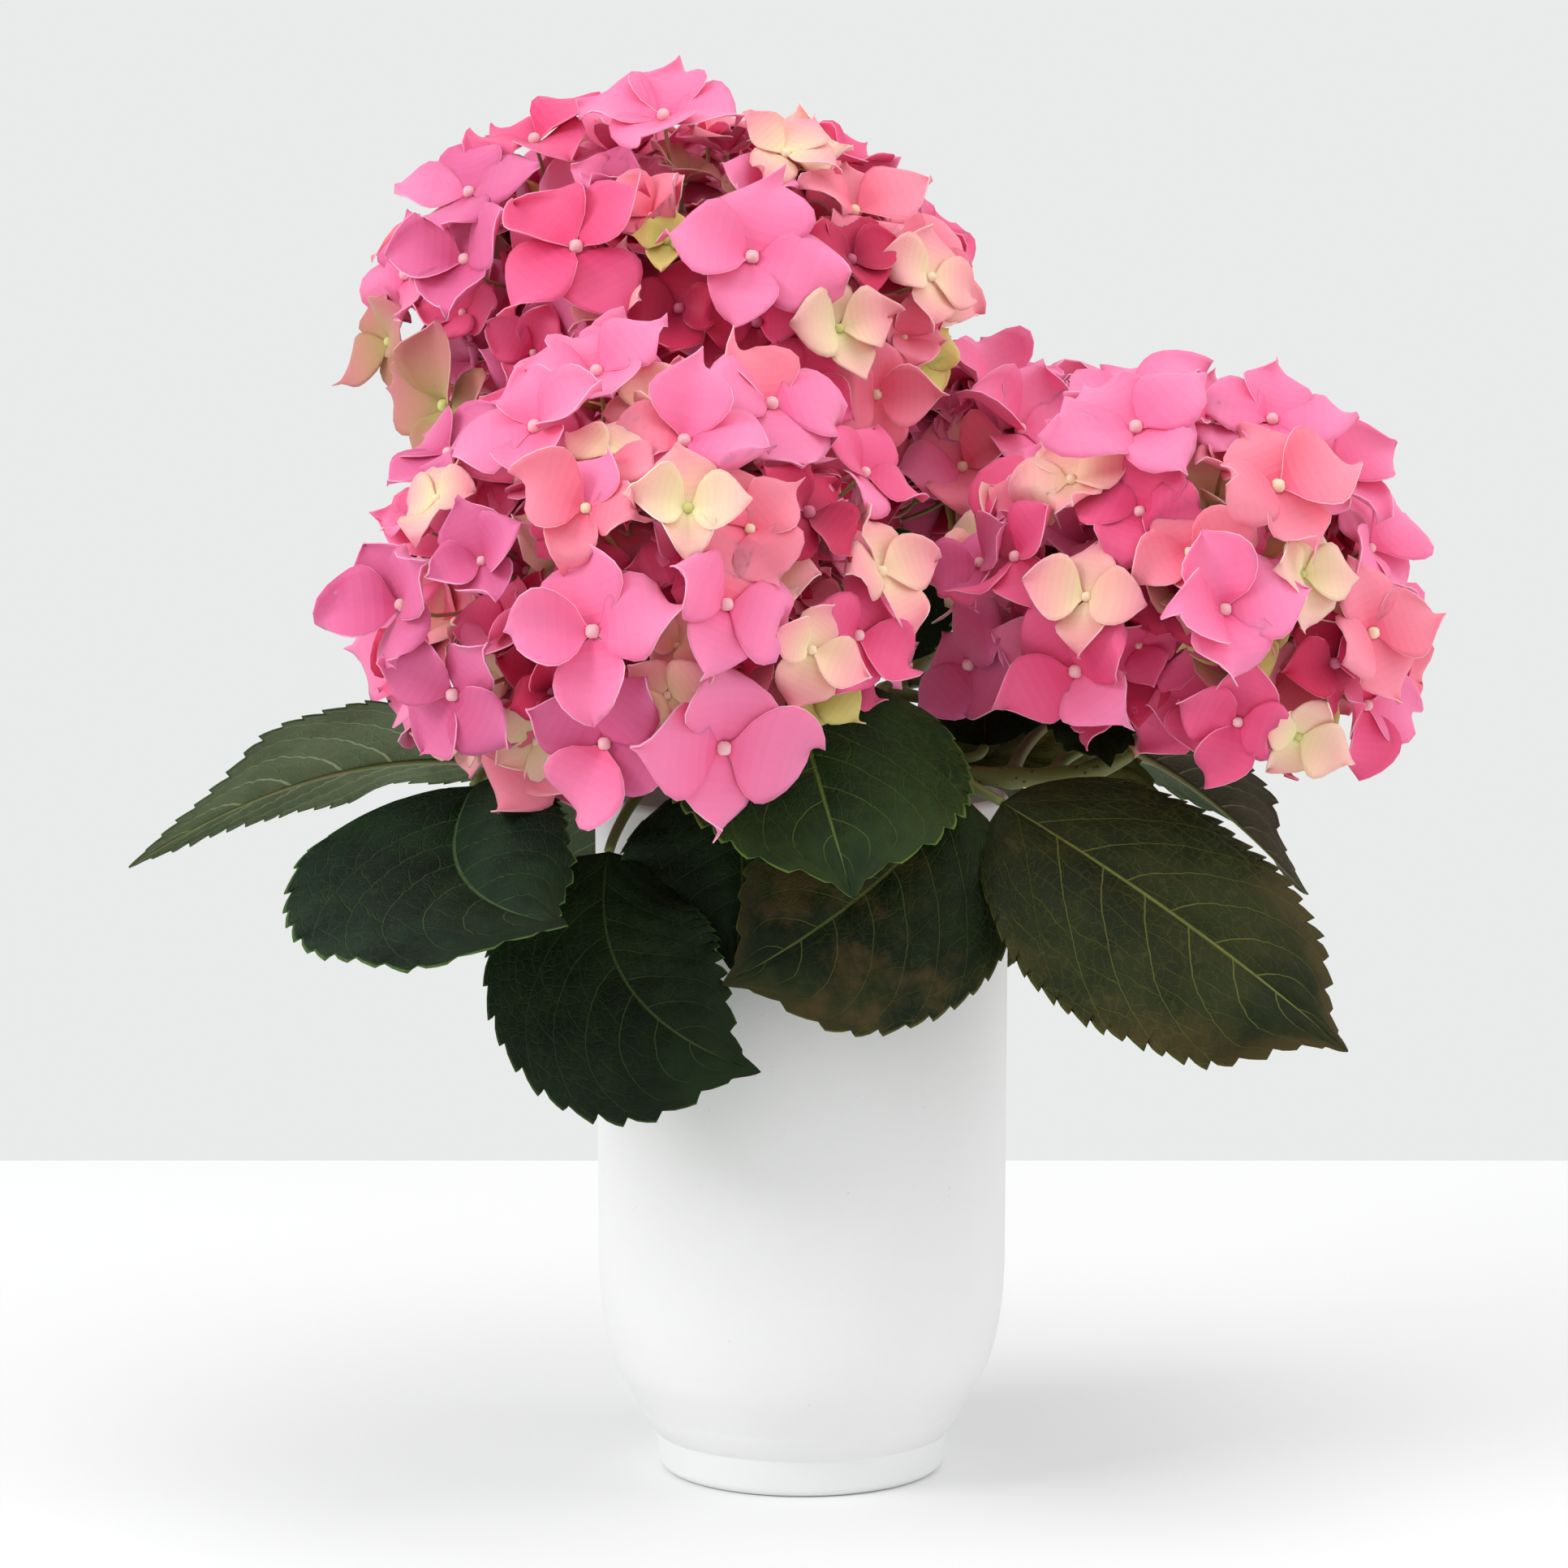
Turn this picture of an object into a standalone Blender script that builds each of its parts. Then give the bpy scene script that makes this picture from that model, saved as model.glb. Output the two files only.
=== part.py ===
"""A hydrangea in its pot: a plain round pot, the soil in it, a short woody crown that forks into
four canes, four flower heads and their leaves.  Metres, +Z up, the origin at the middle of the
pot's underside; -Y is the front.  Sizes below are in millimetres where their name ends in _MM."""

import math
import random

import bmesh
import bpy
from mathutils import Vector
from mathutils.bvhtree import BVHTree

for old in list(bpy.data.objects):
    bpy.data.objects.remove(old, do_unlink=True)

MM = 0.001
GAP_MM = 0.3
ROUND_STEPS = 32
MERGE = 0.00001
FUSED_MERGE = 0.0000002

# --- pot: a straight, slightly flared body that rounds in to a low foot ring ---
POT_HEIGHT_MM = 225.0
POT_TOP_RADIUS_MM = 68.0
POT_BODY_RADIUS_MM = 67.4
POT_SHOULDER_HEIGHT_MM = 72.0
POT_SHOULDER_DROP_MM = 46.0
POT_SHOULDER_INSET_MM = 14.0
POT_SHOULDER_TURN = math.radians(60.0)
POT_CREASE_RADIUS_MM = 49.9
POT_CREASE_HEIGHT_MM = 14.2
FOOT_TOP_RADIUS_MM = 48.7
FOOT_TOP_HEIGHT_MM = 13.2
FOOT_RADIUS_MM = 47.2
FOOT_FILLET_MM = 3.3
POT_WALL_MM = 5.0
POT_FLOOR_MM = 9.0
POT_INSIDE_FLOOR_RADIUS_MM = 42.0

# --- soil and the woody crown that stands on it ---
SOIL_TOP_MM = 205.0
SOIL_MOUND_MM = 3.0
SOIL_FLAT_RADIUS_MM = 15.0
SOIL_SLOPE_MIDDLE = (0.6, 0.5)
CROWN_HEIGHT_MM = 20.0
CROWN_FLARE_RADIUS_MM = 13.5
CROWN_TOP_RADIUS_MM = 9.9
CROWN_LEAN_MM = 0.8
CROWN_FLARE_POWER = 2.2
CROWN_STATIONS = 4
CROWN_STEPS = 16

# --- canes: one tapering limb from the crown's top to each flower head ---
CANE_FOOT_OFFSET_MM = 4.3
CANE_FOOT_RADIUS_MM = 3.7
CANE_TIP_RADIUS_MM = 3.0
CANE_POINTS = 10
SQUARE_END_MM = 1.5
CROWN_TOP_MM = SOIL_TOP_MM + SOIL_MOUND_MM + GAP_MM + CROWN_HEIGHT_MM
CANE_FOOT_MM = CROWN_TOP_MM + GAP_MM

# --- flower heads ---
FLORET_RADIUS_MM = 25.5
PETALS = 4
NOTCH_REACH = 0.62
PETAL_TWIST = 0.22
FLORET_CUP = 0.16
FLORET_THICKNESS_MM = 5.0
FLORET_LIFT = 0.30
FLORET_TILT = 0.20
FLORET_JITTER = 0.07
FLORET_SIZES = (0.84, 1.14)
FLORET_ACROSS = (0.13, 0.21, 0.97)
LEADING_ROOM = 0.62
PEDICEL_RADIUS_MM = 1.1
PEDICEL_FLARE = 1.3
CORE_SHARE = 0.46
CORE_RISE_MM = 9.0
PEDICEL_FOOT = 0.38
DEEPEST_PUSH_MM = 22.0
HEAD_CLEARANCE_MM = 0.4
LAYER_DEPTHS = (1.0, 0.86, 0.94, 0.80)
LAYER_JITTER = 0.03
GOLDEN_ANGLE = math.pi * (3.0 - math.sqrt(5.0))

# name: centre, half sizes, the direction it grows in, spread of its florets from that (deg), their
# count before the leading ones, seed, slope of the dome's shoulders, lean of its top, the neck
# where its cane ends, and the cane's two bends (mm)
HEADS = {
    "front": dict(centre=(-51, -66, 290), half=(86, 80, 84), grows=(-0.1, -0.45, 0.9), spread=108,
                  florets=44, seed=11, slope=0.07, lean=0.05,
                  neck=(-41, -47, 240), bend_1=(-8, -9, 245), bend_2=(-36, -40, 222)),
    "top": dict(centre=(-40, 55, 378), half=(110, 86, 82), grows=(0.0, -0.1, 1.0), spread=108,
                florets=50, seed=23, slope=0.15, lean=-0.07,
                neck=(-30, 42, 322), bend_1=(-5, 8, 262), bend_2=(-26, 36, 296)),
    "right": dict(centre=(125, -12, 287), half=(77, 74, 76), grows=(0.1, -0.3, 0.9), spread=112,
                  florets=40, seed=37, slope=0.09, lean=-0.19,
                  neck=(106, -18, 240), bend_1=(8, -8, 246), bend_2=(78, -32, 220)),
    "rear": dict(centre=(62, 95, 320), half=(56, 54, 52), grows=(0.15, 0.35, 0.93), spread=108,
                 florets=24, seed=53, slope=0.05, lean=0.0,
                 neck=(50, 77, 276), bend_1=(8, 10, 255), bend_2=(41, 62, 250)),
}

# florets that lead each head: azimuth from the front and height above level (deg), reach in half
# sizes of the head, radius (mm), turn about its own axis (deg)
LEADING = {
    "front": ((-7, -26, 1.00, 23, 340), (58, -4, 0.98, 21, 255), (21, -27, 1.04, 27, 275),
              (-8, -1, 1.02, 25, 285), (20, 5, 1.04, 23, 255), (12, 24, 1.02, 18, 275),
              (-11, 25, 1.00, 19, 260), (27, 21, 1.00, 19, 220), (40, -6, 1.00, 17, 255),
              (-50, 4, 1.06, 23, 300), (-37, -16, 1.00, 23, 235), (8, -16, 0.94, 15, 320),
              (49, 25, 0.92, 19, 225), (80, 8, 1.00, 19, 290), (-32, 46, 1.00, 24, 300),
              (14, 44, 1.01, 25, 270), (-7, 39, 0.95, 16, 245), (59, 54, 1.00, 24, 280),
              (-30, 71, 1.00, 24, 310), (82, 32, 1.00, 20, 250)),
    "top": ((-18, 19, 1.02, 28, 320), (13, 16, 1.03, 28, 260), (-7, 63, 1.00, 25, 275),
            (0, 5, 0.90, 17, 270), (15, 1, 0.90, 17, 275), (-45, 18, 0.98, 23, 285),
            (29, 0, 1.00, 18, 295), (54, 12, 0.96, 18, 260), (-52, -20, 1.00, 26, 345),
            (-78, -4, 0.94, 20, 300), (24, -15, 0.92, 19, 250), (42, -17, 0.95, 20, 280),
            (-73, 14, 0.93, 23, 300), (-85, 62, 0.92, 24, 300), (-53, 41, 0.98, 24, 290),
            (49, 41, 0.92, 24, 270), (32, 50, 0.94, 18, 250), (64, 22, 0.94, 22, 300),
            (38, 19, 0.92, 17, 280)),
    "right": ((5, 4, 1.03, 23, 290), (-29, 3, 1.02, 22, 270), (-33, -12, 1.03, 25, 310),
              (-25, 52, 1.06, 26, 320), (-53, 15, 1.00, 21, 310), (29, -31, 1.00, 15, 255),
              (-76, -12, 1.10, 23, 330), (9, -26, 1.00, 19, 260), (-68, 12, 1.05, 20, 300),
              (22, 34, 1.01, 25, 300), (-43, 37, 0.98, 20, 290), (-19, 31, 0.96, 21, 260),
              (-4, 19, 0.92, 19, 300), (66, 52, 0.90, 22, 300), (28, 12, 0.95, 16, 280),
              (50, -4, 1.00, 22, 300), (66, 19, 0.93, 20, 310), (58, -24, 0.97, 21, 280),
              (-8, 76, 1.02, 25, 300)),
    "rear": ((-20, 22, 1.00, 23, 300), (22, 30, 1.00, 24, 260), (0, 62, 1.00, 24, 280),
             (50, 12, 1.00, 22, 250)),
}

# --- leaves ---
BLADE_THICKNESS_MM = 1.4
BLADE_STATIONS = 7
BLADE_COLUMNS = 4
BLADE_WIDEST_AT = 0.42
BLADE_LEAST_WIDTH_MM = 1.5
BLADE_BASE_POWER = 0.55
BLADE_TIP_STRETCH = 1.15
BLADE_TIP_POWER = 0.9
BLADE_CURL = 0.18
PETIOLE_RADIUS_MM = 1.9
PETIOLE_POINTS = 4
PETIOLE_UNDER_BLADE = 0.22
PETIOLE_RISE = 0.25
PETIOLE_LEAVING = 0.35
PETIOLE_ARRIVING = 0.30
PETIOLE_TAPER = 0.45

# name: cane, the point of it (1 to 8) that the stalk leaves, the blade's base, middle and tip (mm),
# its half widths left and right of the midrib (mm), the side it turns up, and its halves' folds (deg)
LEAVES = {
    "far_left": dict(cane="top", node=1, base=(-90, -6, 234), mid=(-153, -20, 234), tip=(-217, -34, 204),
                     widths=(38, 27), up=(-0.3, 0.62, 0.75), folds=(6, 24)),
    "left": dict(cane="front", node=5, base=(-104, -58, 233), mid=(-104, -104, 210), tip=(-70, -152, 201),
                 widths=(47, 54), up=(0.0, -0.40, 0.90), folds=(48, -2)),
    "low_left": dict(cane="front", node=7, base=(-61, -66, 213), mid=(-54, -91, 174), tip=(-13, -104, 149),
                     widths=(32, 44), up=(-0.2, -0.9, 0.4), folds=(12, 4)),
    "front_inner": dict(cane="front", node=1, base=(-24, -64, 240), mid=(-19, -75, 210), tip=(-22, -81, 177),
                        widths=(19, 31), up=(0.0, -0.95, 0.3), folds=(4, 4)),
    "low_front": dict(cane="right", node=2, base=(45, -62, 229), mid=(17, -86, 201), tip=(-25, -96, 175),
                      widths=(45, 38), up=(0.1, -0.9, 0.45), folds=(6, 10)),
    "front": dict(cane="front", node=2, base=(-6, -58, 275), mid=(3, -93, 245), tip=(15, -128, 206),
                  widths=(54, 46), up=(0.1, -0.65, 0.75), folds=(-8, 6)),
    "right": dict(cane="right", node=4, base=(63, -60, 228), mid=(117, -86, 195), tip=(168, -102, 155),
                  widths=(41, 50), up=(0.15, -0.75, 0.65), folds=(8, 6)),
    "right_rolled": dict(cane="right", node=7, base=(108, 4, 240), mid=(137, 4, 222), tip=(166, -8, 192),
                         widths=(24, 24), up=(0.5, 0.35, 0.8), folds=(40, 40)),
    "right_back": dict(cane="right", node=6, base=(104, 36, 250), mid=(128, 44, 240), tip=(150, 44, 220),
                       widths=(26, 26), up=(0.3, -0.4, 0.85), folds=(10, 10)),
    "right_under": dict(cane="right", node=8, base=(88, -8, 258), mid=(93, -26, 251), tip=(98, -48, 238),
                        widths=(15, 15), up=(0.0, -0.5, 0.9), folds=(10, 10)),
    "right_inner": dict(cane="right", node=3, base=(60, 2, 240), mid=(60, 12, 254), tip=(57, 24, 272),
                        widths=(22, 22), up=(-0.1, -0.9, 0.4), folds=(12, 12)),
    "right_low_back": dict(cane="rear", node=1, base=(42, 16, 233), mid=(86, 26, 232), tip=(128, 34, 212),
                           widths=(22, 9), up=(0.05, -0.75, 0.65), folds=(8, 8)),
    "back_left": dict(cane="top", node=2, base=(-62, 52, 236), mid=(-98, 86, 238), tip=(-132, 118, 216),
                      widths=(42, 42), up=(-0.3, 0.3, 0.9), folds=(8, 8)),
    "back": dict(cane="rear", node=2, base=(-4, 76, 234), mid=(-2, 118, 214), tip=(6, 156, 176),
                 widths=(42, 42), up=(0.0, 0.6, 0.8), folds=(8, 8)),
    "back_right": dict(cane="rear", node=5, base=(80, 68, 242), mid=(116, 98, 234), tip=(150, 126, 206),
                       widths=(40, 40), up=(0.3, 0.3, 0.9), folds=(8, 8)),
    "low_back_left": dict(cane="top", node=3, base=(-50, 60, 224), mid=(-66, 80, 192), tip=(-68, 88, 148),
                          widths=(36, 36), up=(-0.4, 0.85, 0.35), folds=(8, 8)),
    "low_back_right": dict(cane="rear", node=3, base=(52, 60, 224), mid=(66, 80, 192), tip=(66, 88, 148),
                           widths=(36, 36), up=(0.4, 0.85, 0.35), folds=(8, 8)),
    "left_upper": dict(cane="top", node=5, base=(-56, 44, 290), mid=(-90, 58, 286), tip=(-120, 72, 264),
                       widths=(34, 34), up=(-0.3, 0.0, 0.95), folds=(10, 10)),
    "back_upper": dict(cane="top", node=6, base=(-24, 78, 294), mid=(-26, 116, 286), tip=(-28, 150, 258),
                       widths=(38, 38), up=(0.0, 0.3, 0.95), folds=(10, 10)),
    "middle": dict(cane="rear", node=4, base=(22, 34, 268), mid=(26, 22, 290), tip=(22, 8, 314),
                   widths=(26, 26), up=(-0.1, -0.9, 0.4), folds=(10, 10)),
    "right_side": dict(cane="rear", node=6, base=(98, 58, 234), mid=(128, 80, 226), tip=(152, 104, 204),
                       widths=(30, 30), up=(0.3, 0.2, 0.9), folds=(8, 8)),
}

# --- finishes: colour, roughness ---
FINISHES = {
    "white_ceramic": ((0.86, 0.86, 0.86), 0.45),
    "potting_soil": ((0.05, 0.035, 0.025), 0.95),
    "woody_bark": ((0.20, 0.14, 0.08), 0.85),
    "green_cane": ((0.16, 0.22, 0.06), 0.60),
    "pink_petal": ((0.86, 0.20, 0.36), 0.60),
    "leaf_green": ((0.03, 0.09, 0.03), 0.50),
}

plant = bpy.data.collections.new("hydrangea")
bpy.context.scene.collection.children.link(plant)
fusing = bpy.data.collections.new("pieces_to_fuse")
bpy.context.scene.collection.children.link(fusing)


def in_metres(point_mm):
    return Vector(point_mm) * MM


def finish(name):
    """One Principled material of each finish, made when it is first asked for."""
    if name in bpy.data.materials:
        return bpy.data.materials[name]
    colour, roughness = FINISHES[name]
    material = bpy.data.materials.new(name)
    material.use_nodes = True
    shader = material.node_tree.nodes["Principled BSDF"]
    shader.inputs["Base Color"].default_value = (*colour, 1.0)
    shader.inputs["Roughness"].default_value = roughness
    shader.inputs["Metallic"].default_value = 0.0
    return material


def object_from(mesh, name, collection, finish_name):
    mesh.materials.clear()
    mesh.materials.append(finish(finish_name))
    made = bpy.data.objects.new(name, mesh)
    collection.objects.link(made)
    return made


def evaluated_mesh(made, merge):
    """The object's mesh with its modifiers applied, or a curve's, with the curve's caps welded."""
    graph = bpy.context.evaluated_depsgraph_get()
    mesh = bpy.data.meshes.new_from_object(made.evaluated_get(graph))
    welded = bmesh.new()
    welded.from_mesh(mesh)
    bmesh.ops.remove_doubles(welded, verts=welded.verts, dist=merge)
    bmesh.ops.recalc_face_normals(welded, faces=welded.faces)
    welded.to_mesh(mesh)
    welded.free()
    return mesh


def applied(made, name, collection, finish_name, merge=MERGE):
    """Replace an object by a plain mesh object of its evaluated shape."""
    mesh = evaluated_mesh(made, merge)
    bpy.data.objects.remove(made, do_unlink=True)
    return object_from(mesh, name, collection, finish_name)


def turned(name, profile_mm, steps, finish_name):
    """A closed turned solid: the profile (radius, height) is swept once round the Z axis."""
    outline = bmesh.new()
    points = [outline.verts.new((radius * MM, 0.0, height * MM)) for radius, height in profile_mm]
    for first, second in zip(points, points[1:]):
        outline.edges.new((first, second))
    mesh = bpy.data.meshes.new(name)
    outline.to_mesh(mesh)
    outline.free()
    made = object_from(mesh, name, plant, finish_name)
    screw = made.modifiers.new("turn", "SCREW")
    screw.axis = "Z"
    screw.steps = steps
    screw.render_steps = steps
    screw.use_merge_vertices = True
    screw.merge_threshold = MERGE
    return applied(made, name, plant, finish_name)


def arc(centre, radii, start, end, steps):
    """Points (radius, height) on an ellipse's arc, angles measured from +radius towards +height."""
    points = []
    for k in range(steps + 1):
        angle = start + (end - start) * k / steps
        points.append((centre[0] + radii[0] * math.cos(angle), centre[1] + radii[1] * math.sin(angle)))
    return points


def pot_outside():
    """The pot's outside from rim to underside: body, rounded shoulder, crease, foot ring, fillet."""
    rim = arc((POT_TOP_RADIUS_MM - POT_WALL_MM / 2, POT_HEIGHT_MM - POT_WALL_MM / 2),
              (POT_WALL_MM / 2, POT_WALL_MM / 2), math.radians(90), 0.0, 3)
    shoulder = arc((POT_BODY_RADIUS_MM - POT_SHOULDER_INSET_MM, POT_SHOULDER_HEIGHT_MM),
                   (POT_SHOULDER_INSET_MM, POT_SHOULDER_DROP_MM), 0.0, -POT_SHOULDER_TURN, 4)
    fillet = arc((FOOT_RADIUS_MM - FOOT_FILLET_MM, FOOT_FILLET_MM),
                 (FOOT_FILLET_MM, FOOT_FILLET_MM), 0.0, math.radians(-90), 2)
    crease = [(POT_CREASE_RADIUS_MM, POT_CREASE_HEIGHT_MM), (FOOT_TOP_RADIUS_MM, FOOT_TOP_HEIGHT_MM)]
    return rim + shoulder + crease + fillet + [(0.0, 0.0)]


def pot_inside(clearance_mm):
    """The pot's inside from floor centre to just under the rim, moved inwards by a clearance."""
    top_radius = POT_TOP_RADIUS_MM - POT_WALL_MM - clearance_mm
    body_radius = POT_BODY_RADIUS_MM - POT_WALL_MM - clearance_mm
    floor_radius = POT_INSIDE_FLOOR_RADIUS_MM - clearance_mm
    floor = POT_FLOOR_MM + clearance_mm
    corner = arc((floor_radius, POT_SHOULDER_HEIGHT_MM),
                 (body_radius - floor_radius, POT_SHOULDER_HEIGHT_MM - floor), math.radians(-90), 0.0, 5)
    return [(0.0, floor)] + corner, top_radius, body_radius


def build_pot():
    inside, top_radius, _ = pot_inside(0.0)
    rim_inside = arc((top_radius + POT_WALL_MM / 2, POT_HEIGHT_MM - POT_WALL_MM / 2),
                     (POT_WALL_MM / 2, POT_WALL_MM / 2), math.radians(180), math.radians(90), 3)
    return turned("pot", inside + rim_inside[:-1] + pot_outside(), ROUND_STEPS, "white_ceramic")


def build_soil():
    """The potting mix fills the pot to SOIL_TOP_MM and rises a little to a flat round the crown."""
    inside, top_radius, body_radius = pot_inside(GAP_MM)
    straight = POT_HEIGHT_MM - POT_SHOULDER_HEIGHT_MM
    edge = body_radius + (top_radius - body_radius) * (SOIL_TOP_MM - POT_SHOULDER_HEIGHT_MM) / straight
    mound = SOIL_TOP_MM + SOIL_MOUND_MM
    out, up = SOIL_SLOPE_MIDDLE
    slope = (edge * out, SOIL_TOP_MM + SOIL_MOUND_MM * up)
    top = [(0.0, mound), (SOIL_FLAT_RADIUS_MM, mound), slope, (edge, SOIL_TOP_MM)]
    return turned("soil", top + inside[::-1], ROUND_STEPS, "potting_soil")


def build_crown():
    """The short woody trunk: a flared foot, a slight waist and lean, and a flat top for the canes."""
    foot = SOIL_TOP_MM + SOIL_MOUND_MM + GAP_MM
    rise = CROWN_TOP_MM - foot
    side = []
    for k in range(CROWN_STATIONS, -1, -1):
        share = k / CROWN_STATIONS
        flare = (CROWN_FLARE_RADIUS_MM - CROWN_TOP_RADIUS_MM) * (1.0 - share) ** CROWN_FLARE_POWER
        side.append((CROWN_TOP_RADIUS_MM + flare, foot + rise * share))
    trunk = turned("trunk", [(0.0, CROWN_TOP_MM)] + side + [(0.0, foot)], CROWN_STEPS, "woody_bark")
    for vertex in trunk.data.vertices:
        share = (vertex.co.z / MM - foot) / rise
        vertex.co.x += CROWN_LEAN_MM * MM * (share - 1.0)
    return trunk


def bezier(p0, p1, p2, p3, share):
    """Point and unit direction of a cubic curve at a share of its run."""
    rest = 1.0 - share
    point = p0 * rest ** 3 + p1 * 3 * rest ** 2 * share + p2 * 3 * rest * share ** 2 + p3 * share ** 3
    along = (p1 - p0) * 3 * rest ** 2 + (p2 - p1) * 6 * rest * share + (p3 - p2) * 3 * share ** 2
    return point, along.normalized()


def tube(name, points, radii, sides_level, collection, finish_name):
    """A tapering round limb along points: a curve with a bevel and filled caps, made a mesh."""
    curve = bpy.data.curves.new(name, "CURVE")
    curve.dimensions = "3D"
    curve.bevel_depth = 1.0
    curve.bevel_resolution = sides_level
    curve.use_fill_caps = True
    spline = curve.splines.new("POLY")
    spline.points.add(len(points) - 1)
    for slot, point, radius in zip(spline.points, points, radii):
        slot.co = (*point, 1.0)
        slot.radius = radius
    made = bpy.data.objects.new(name + "_curve", curve)
    collection.objects.link(made)
    return applied(made, name, collection, finish_name)


def fuse(name, base, finish_name):
    """One Boolean union of a base object with everything in the fusing collection."""
    union = base.modifiers.new("fuse", "BOOLEAN")
    union.operation = "UNION"
    union.operand_type = "COLLECTION"
    union.collection = fusing
    union.solver = "EXACT"
    made = applied(base, name, plant, finish_name, FUSED_MERGE)
    for piece in list(fusing.objects):
        bpy.data.objects.remove(piece, do_unlink=True)
    return made


def cane_curve(head):
    """The four control points of the cane that carries a head, in metres."""
    plan = HEADS[head]
    neck = in_metres(plan["neck"])
    side_x = math.copysign(CANE_FOOT_OFFSET_MM, plan["bend_1"][0])
    side_y = math.copysign(CANE_FOOT_OFFSET_MM, plan["bend_1"][1])
    foot = in_metres((side_x, side_y, CANE_FOOT_MM))
    return foot, in_metres(plan["bend_1"]), in_metres(plan["bend_2"]), neck


def cane_radius(share):
    return (CANE_FOOT_RADIUS_MM + (CANE_TIP_RADIUS_MM - CANE_FOOT_RADIUS_MM) * share) * MM


def build_cane(head):
    controls = cane_curve(head)
    shares = [k / (CANE_POINTS - 1) for k in range(CANE_POINTS)]
    points = [bezier(*controls, share)[0] for share in shares]
    radii = [cane_radius(share) for share in shares]
    # both ends run straight for a little way, so that their cut faces lie flat to what they meet
    neck, along = bezier(*controls, 1.0)
    points[-1:] = [neck - along * (GAP_MM + SQUARE_END_MM) * MM, neck - along * GAP_MM * MM]
    radii.append(radii[-1])
    points.insert(1, points[0] + Vector((0.0, 0.0, SQUARE_END_MM * MM)))
    radii.insert(1, radii[0])
    return tube("cane_" + head, points, radii, 1, plant, "green_cane")


def blade_share(share):
    """Half width at a share of the blade's length, as a share of its widest: broad, then drawn out."""
    if share < BLADE_WIDEST_AT:
        return (1.0 - (1.0 - share / BLADE_WIDEST_AT) ** 2) ** BLADE_BASE_POWER
    beyond = (share - BLADE_WIDEST_AT) / (1.0 - BLADE_WIDEST_AT)
    return math.cos(math.pi / 2 * min(beyond, 1.0) ** BLADE_TIP_STRETCH) ** BLADE_TIP_POWER


def midrib(plan, share):
    """Point and direction on a blade's midrib, a curve through its base, middle and tip."""
    base, middle, tip = (in_metres(plan[key]) for key in ("base", "mid", "tip"))
    pull = middle * 2.0 - (base + tip) * 0.5
    rest = 1.0 - share
    point = base * rest ** 2 + pull * 2 * rest * share + tip * share ** 2
    along = (pull - base) * 2 * rest + (tip - pull) * 2 * share
    return point, along.normalized()


def blade_point(plan, share, across):
    """A blade's surface: out from the midrib by its half width, each half tilted by its own fold."""
    point, along = midrib(plan, share)
    sideways = along.cross(Vector(plan["up"])).normalized()
    upwards = sideways.cross(along).normalized()
    half = 0 if across < 0 else 1
    width = max(plan["widths"][half] * blade_share(share), BLADE_LEAST_WIDTH_MM) * MM
    fold = math.radians(plan["folds"][half]) * (1.0 - share ** 3)
    reach = abs(across) * width
    curl = BLADE_CURL * reach * abs(across)
    return point + sideways * (math.copysign(reach, across) * math.cos(fold)) + upwards * (
        reach * math.sin(fold) - curl)


def petiole_points(plan):
    """The leaf stalk: square off the cane, over to the blade's base and a short way under its rib."""
    controls = cane_curve(plan["cane"])
    share = plan["node"] / (CANE_POINTS - 1)
    node, growing = bezier(*controls, share)
    base, along = midrib(plan, 0.0)
    outward = base - node
    outward.z = max(outward.z, PETIOLE_RISE * outward.length)
    outward = (outward - growing * outward.dot(growing)).normalized()
    start = node + outward * (cane_radius(share) + GAP_MM * MM)
    reach = (base - start).length
    controls = (start, start + outward * reach * PETIOLE_LEAVING, base - along * reach * PETIOLE_ARRIVING,
                base)
    points = [bezier(*controls, k / (PETIOLE_POINTS - 1))[0] for k in range(PETIOLE_POINTS)]
    points.insert(1, start + outward * SQUARE_END_MM * MM)
    points.append(midrib(plan, PETIOLE_UNDER_BLADE)[0])
    return points


def build_leaf(name):
    plan = LEAVES[name]
    sheet = bmesh.new()
    bmesh.ops.create_grid(sheet, x_segments=BLADE_STATIONS, y_segments=BLADE_COLUMNS, size=0.5)
    for vertex in sheet.verts:
        vertex.co = blade_point(plan, vertex.co.x + 0.5, vertex.co.y * 2.0)
    mesh = bpy.data.meshes.new("blade")
    sheet.to_mesh(mesh)
    sheet.free()
    blade = object_from(mesh, "blade", plant, "leaf_green")
    wall = blade.modifiers.new("thickness", "SOLIDIFY")
    wall.thickness = BLADE_THICKNESS_MM * MM
    wall.offset = 0.0
    wall.use_even_offset = True
    blade = applied(blade, "blade", plant, "leaf_green")
    points = petiole_points(plan)
    last = len(points) - 1
    radii = [PETIOLE_RADIUS_MM * MM * (1.0 - PETIOLE_TAPER * k / last) for k in range(last + 1)]
    tube("petiole", points, radii, 0, fusing, "green_cane")
    return fuse("leaf_" + name, blade, "leaf_green")


def lattice(count, spread):
    """Directions spread evenly over a cap round +Z, on a golden-angle spiral."""
    found = []
    for k in range(count):
        rise = 1.0 - (k + 0.5) / count * (1.0 - math.cos(spread))
        level = math.sqrt(1.0 - rise * rise)
        turn = k * GOLDEN_ANGLE
        found.append(Vector((level * math.cos(turn), level * math.sin(turn), rise)))
    return found


def bearing(azimuth, height):
    """Direction at an azimuth from the front (towards +X) and a height above level, in degrees."""
    azimuth = math.radians(azimuth)
    height = math.radians(height)
    return Vector((math.cos(height) * math.sin(azimuth), -math.cos(height) * math.cos(azimuth),
                   math.sin(height)))


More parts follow.
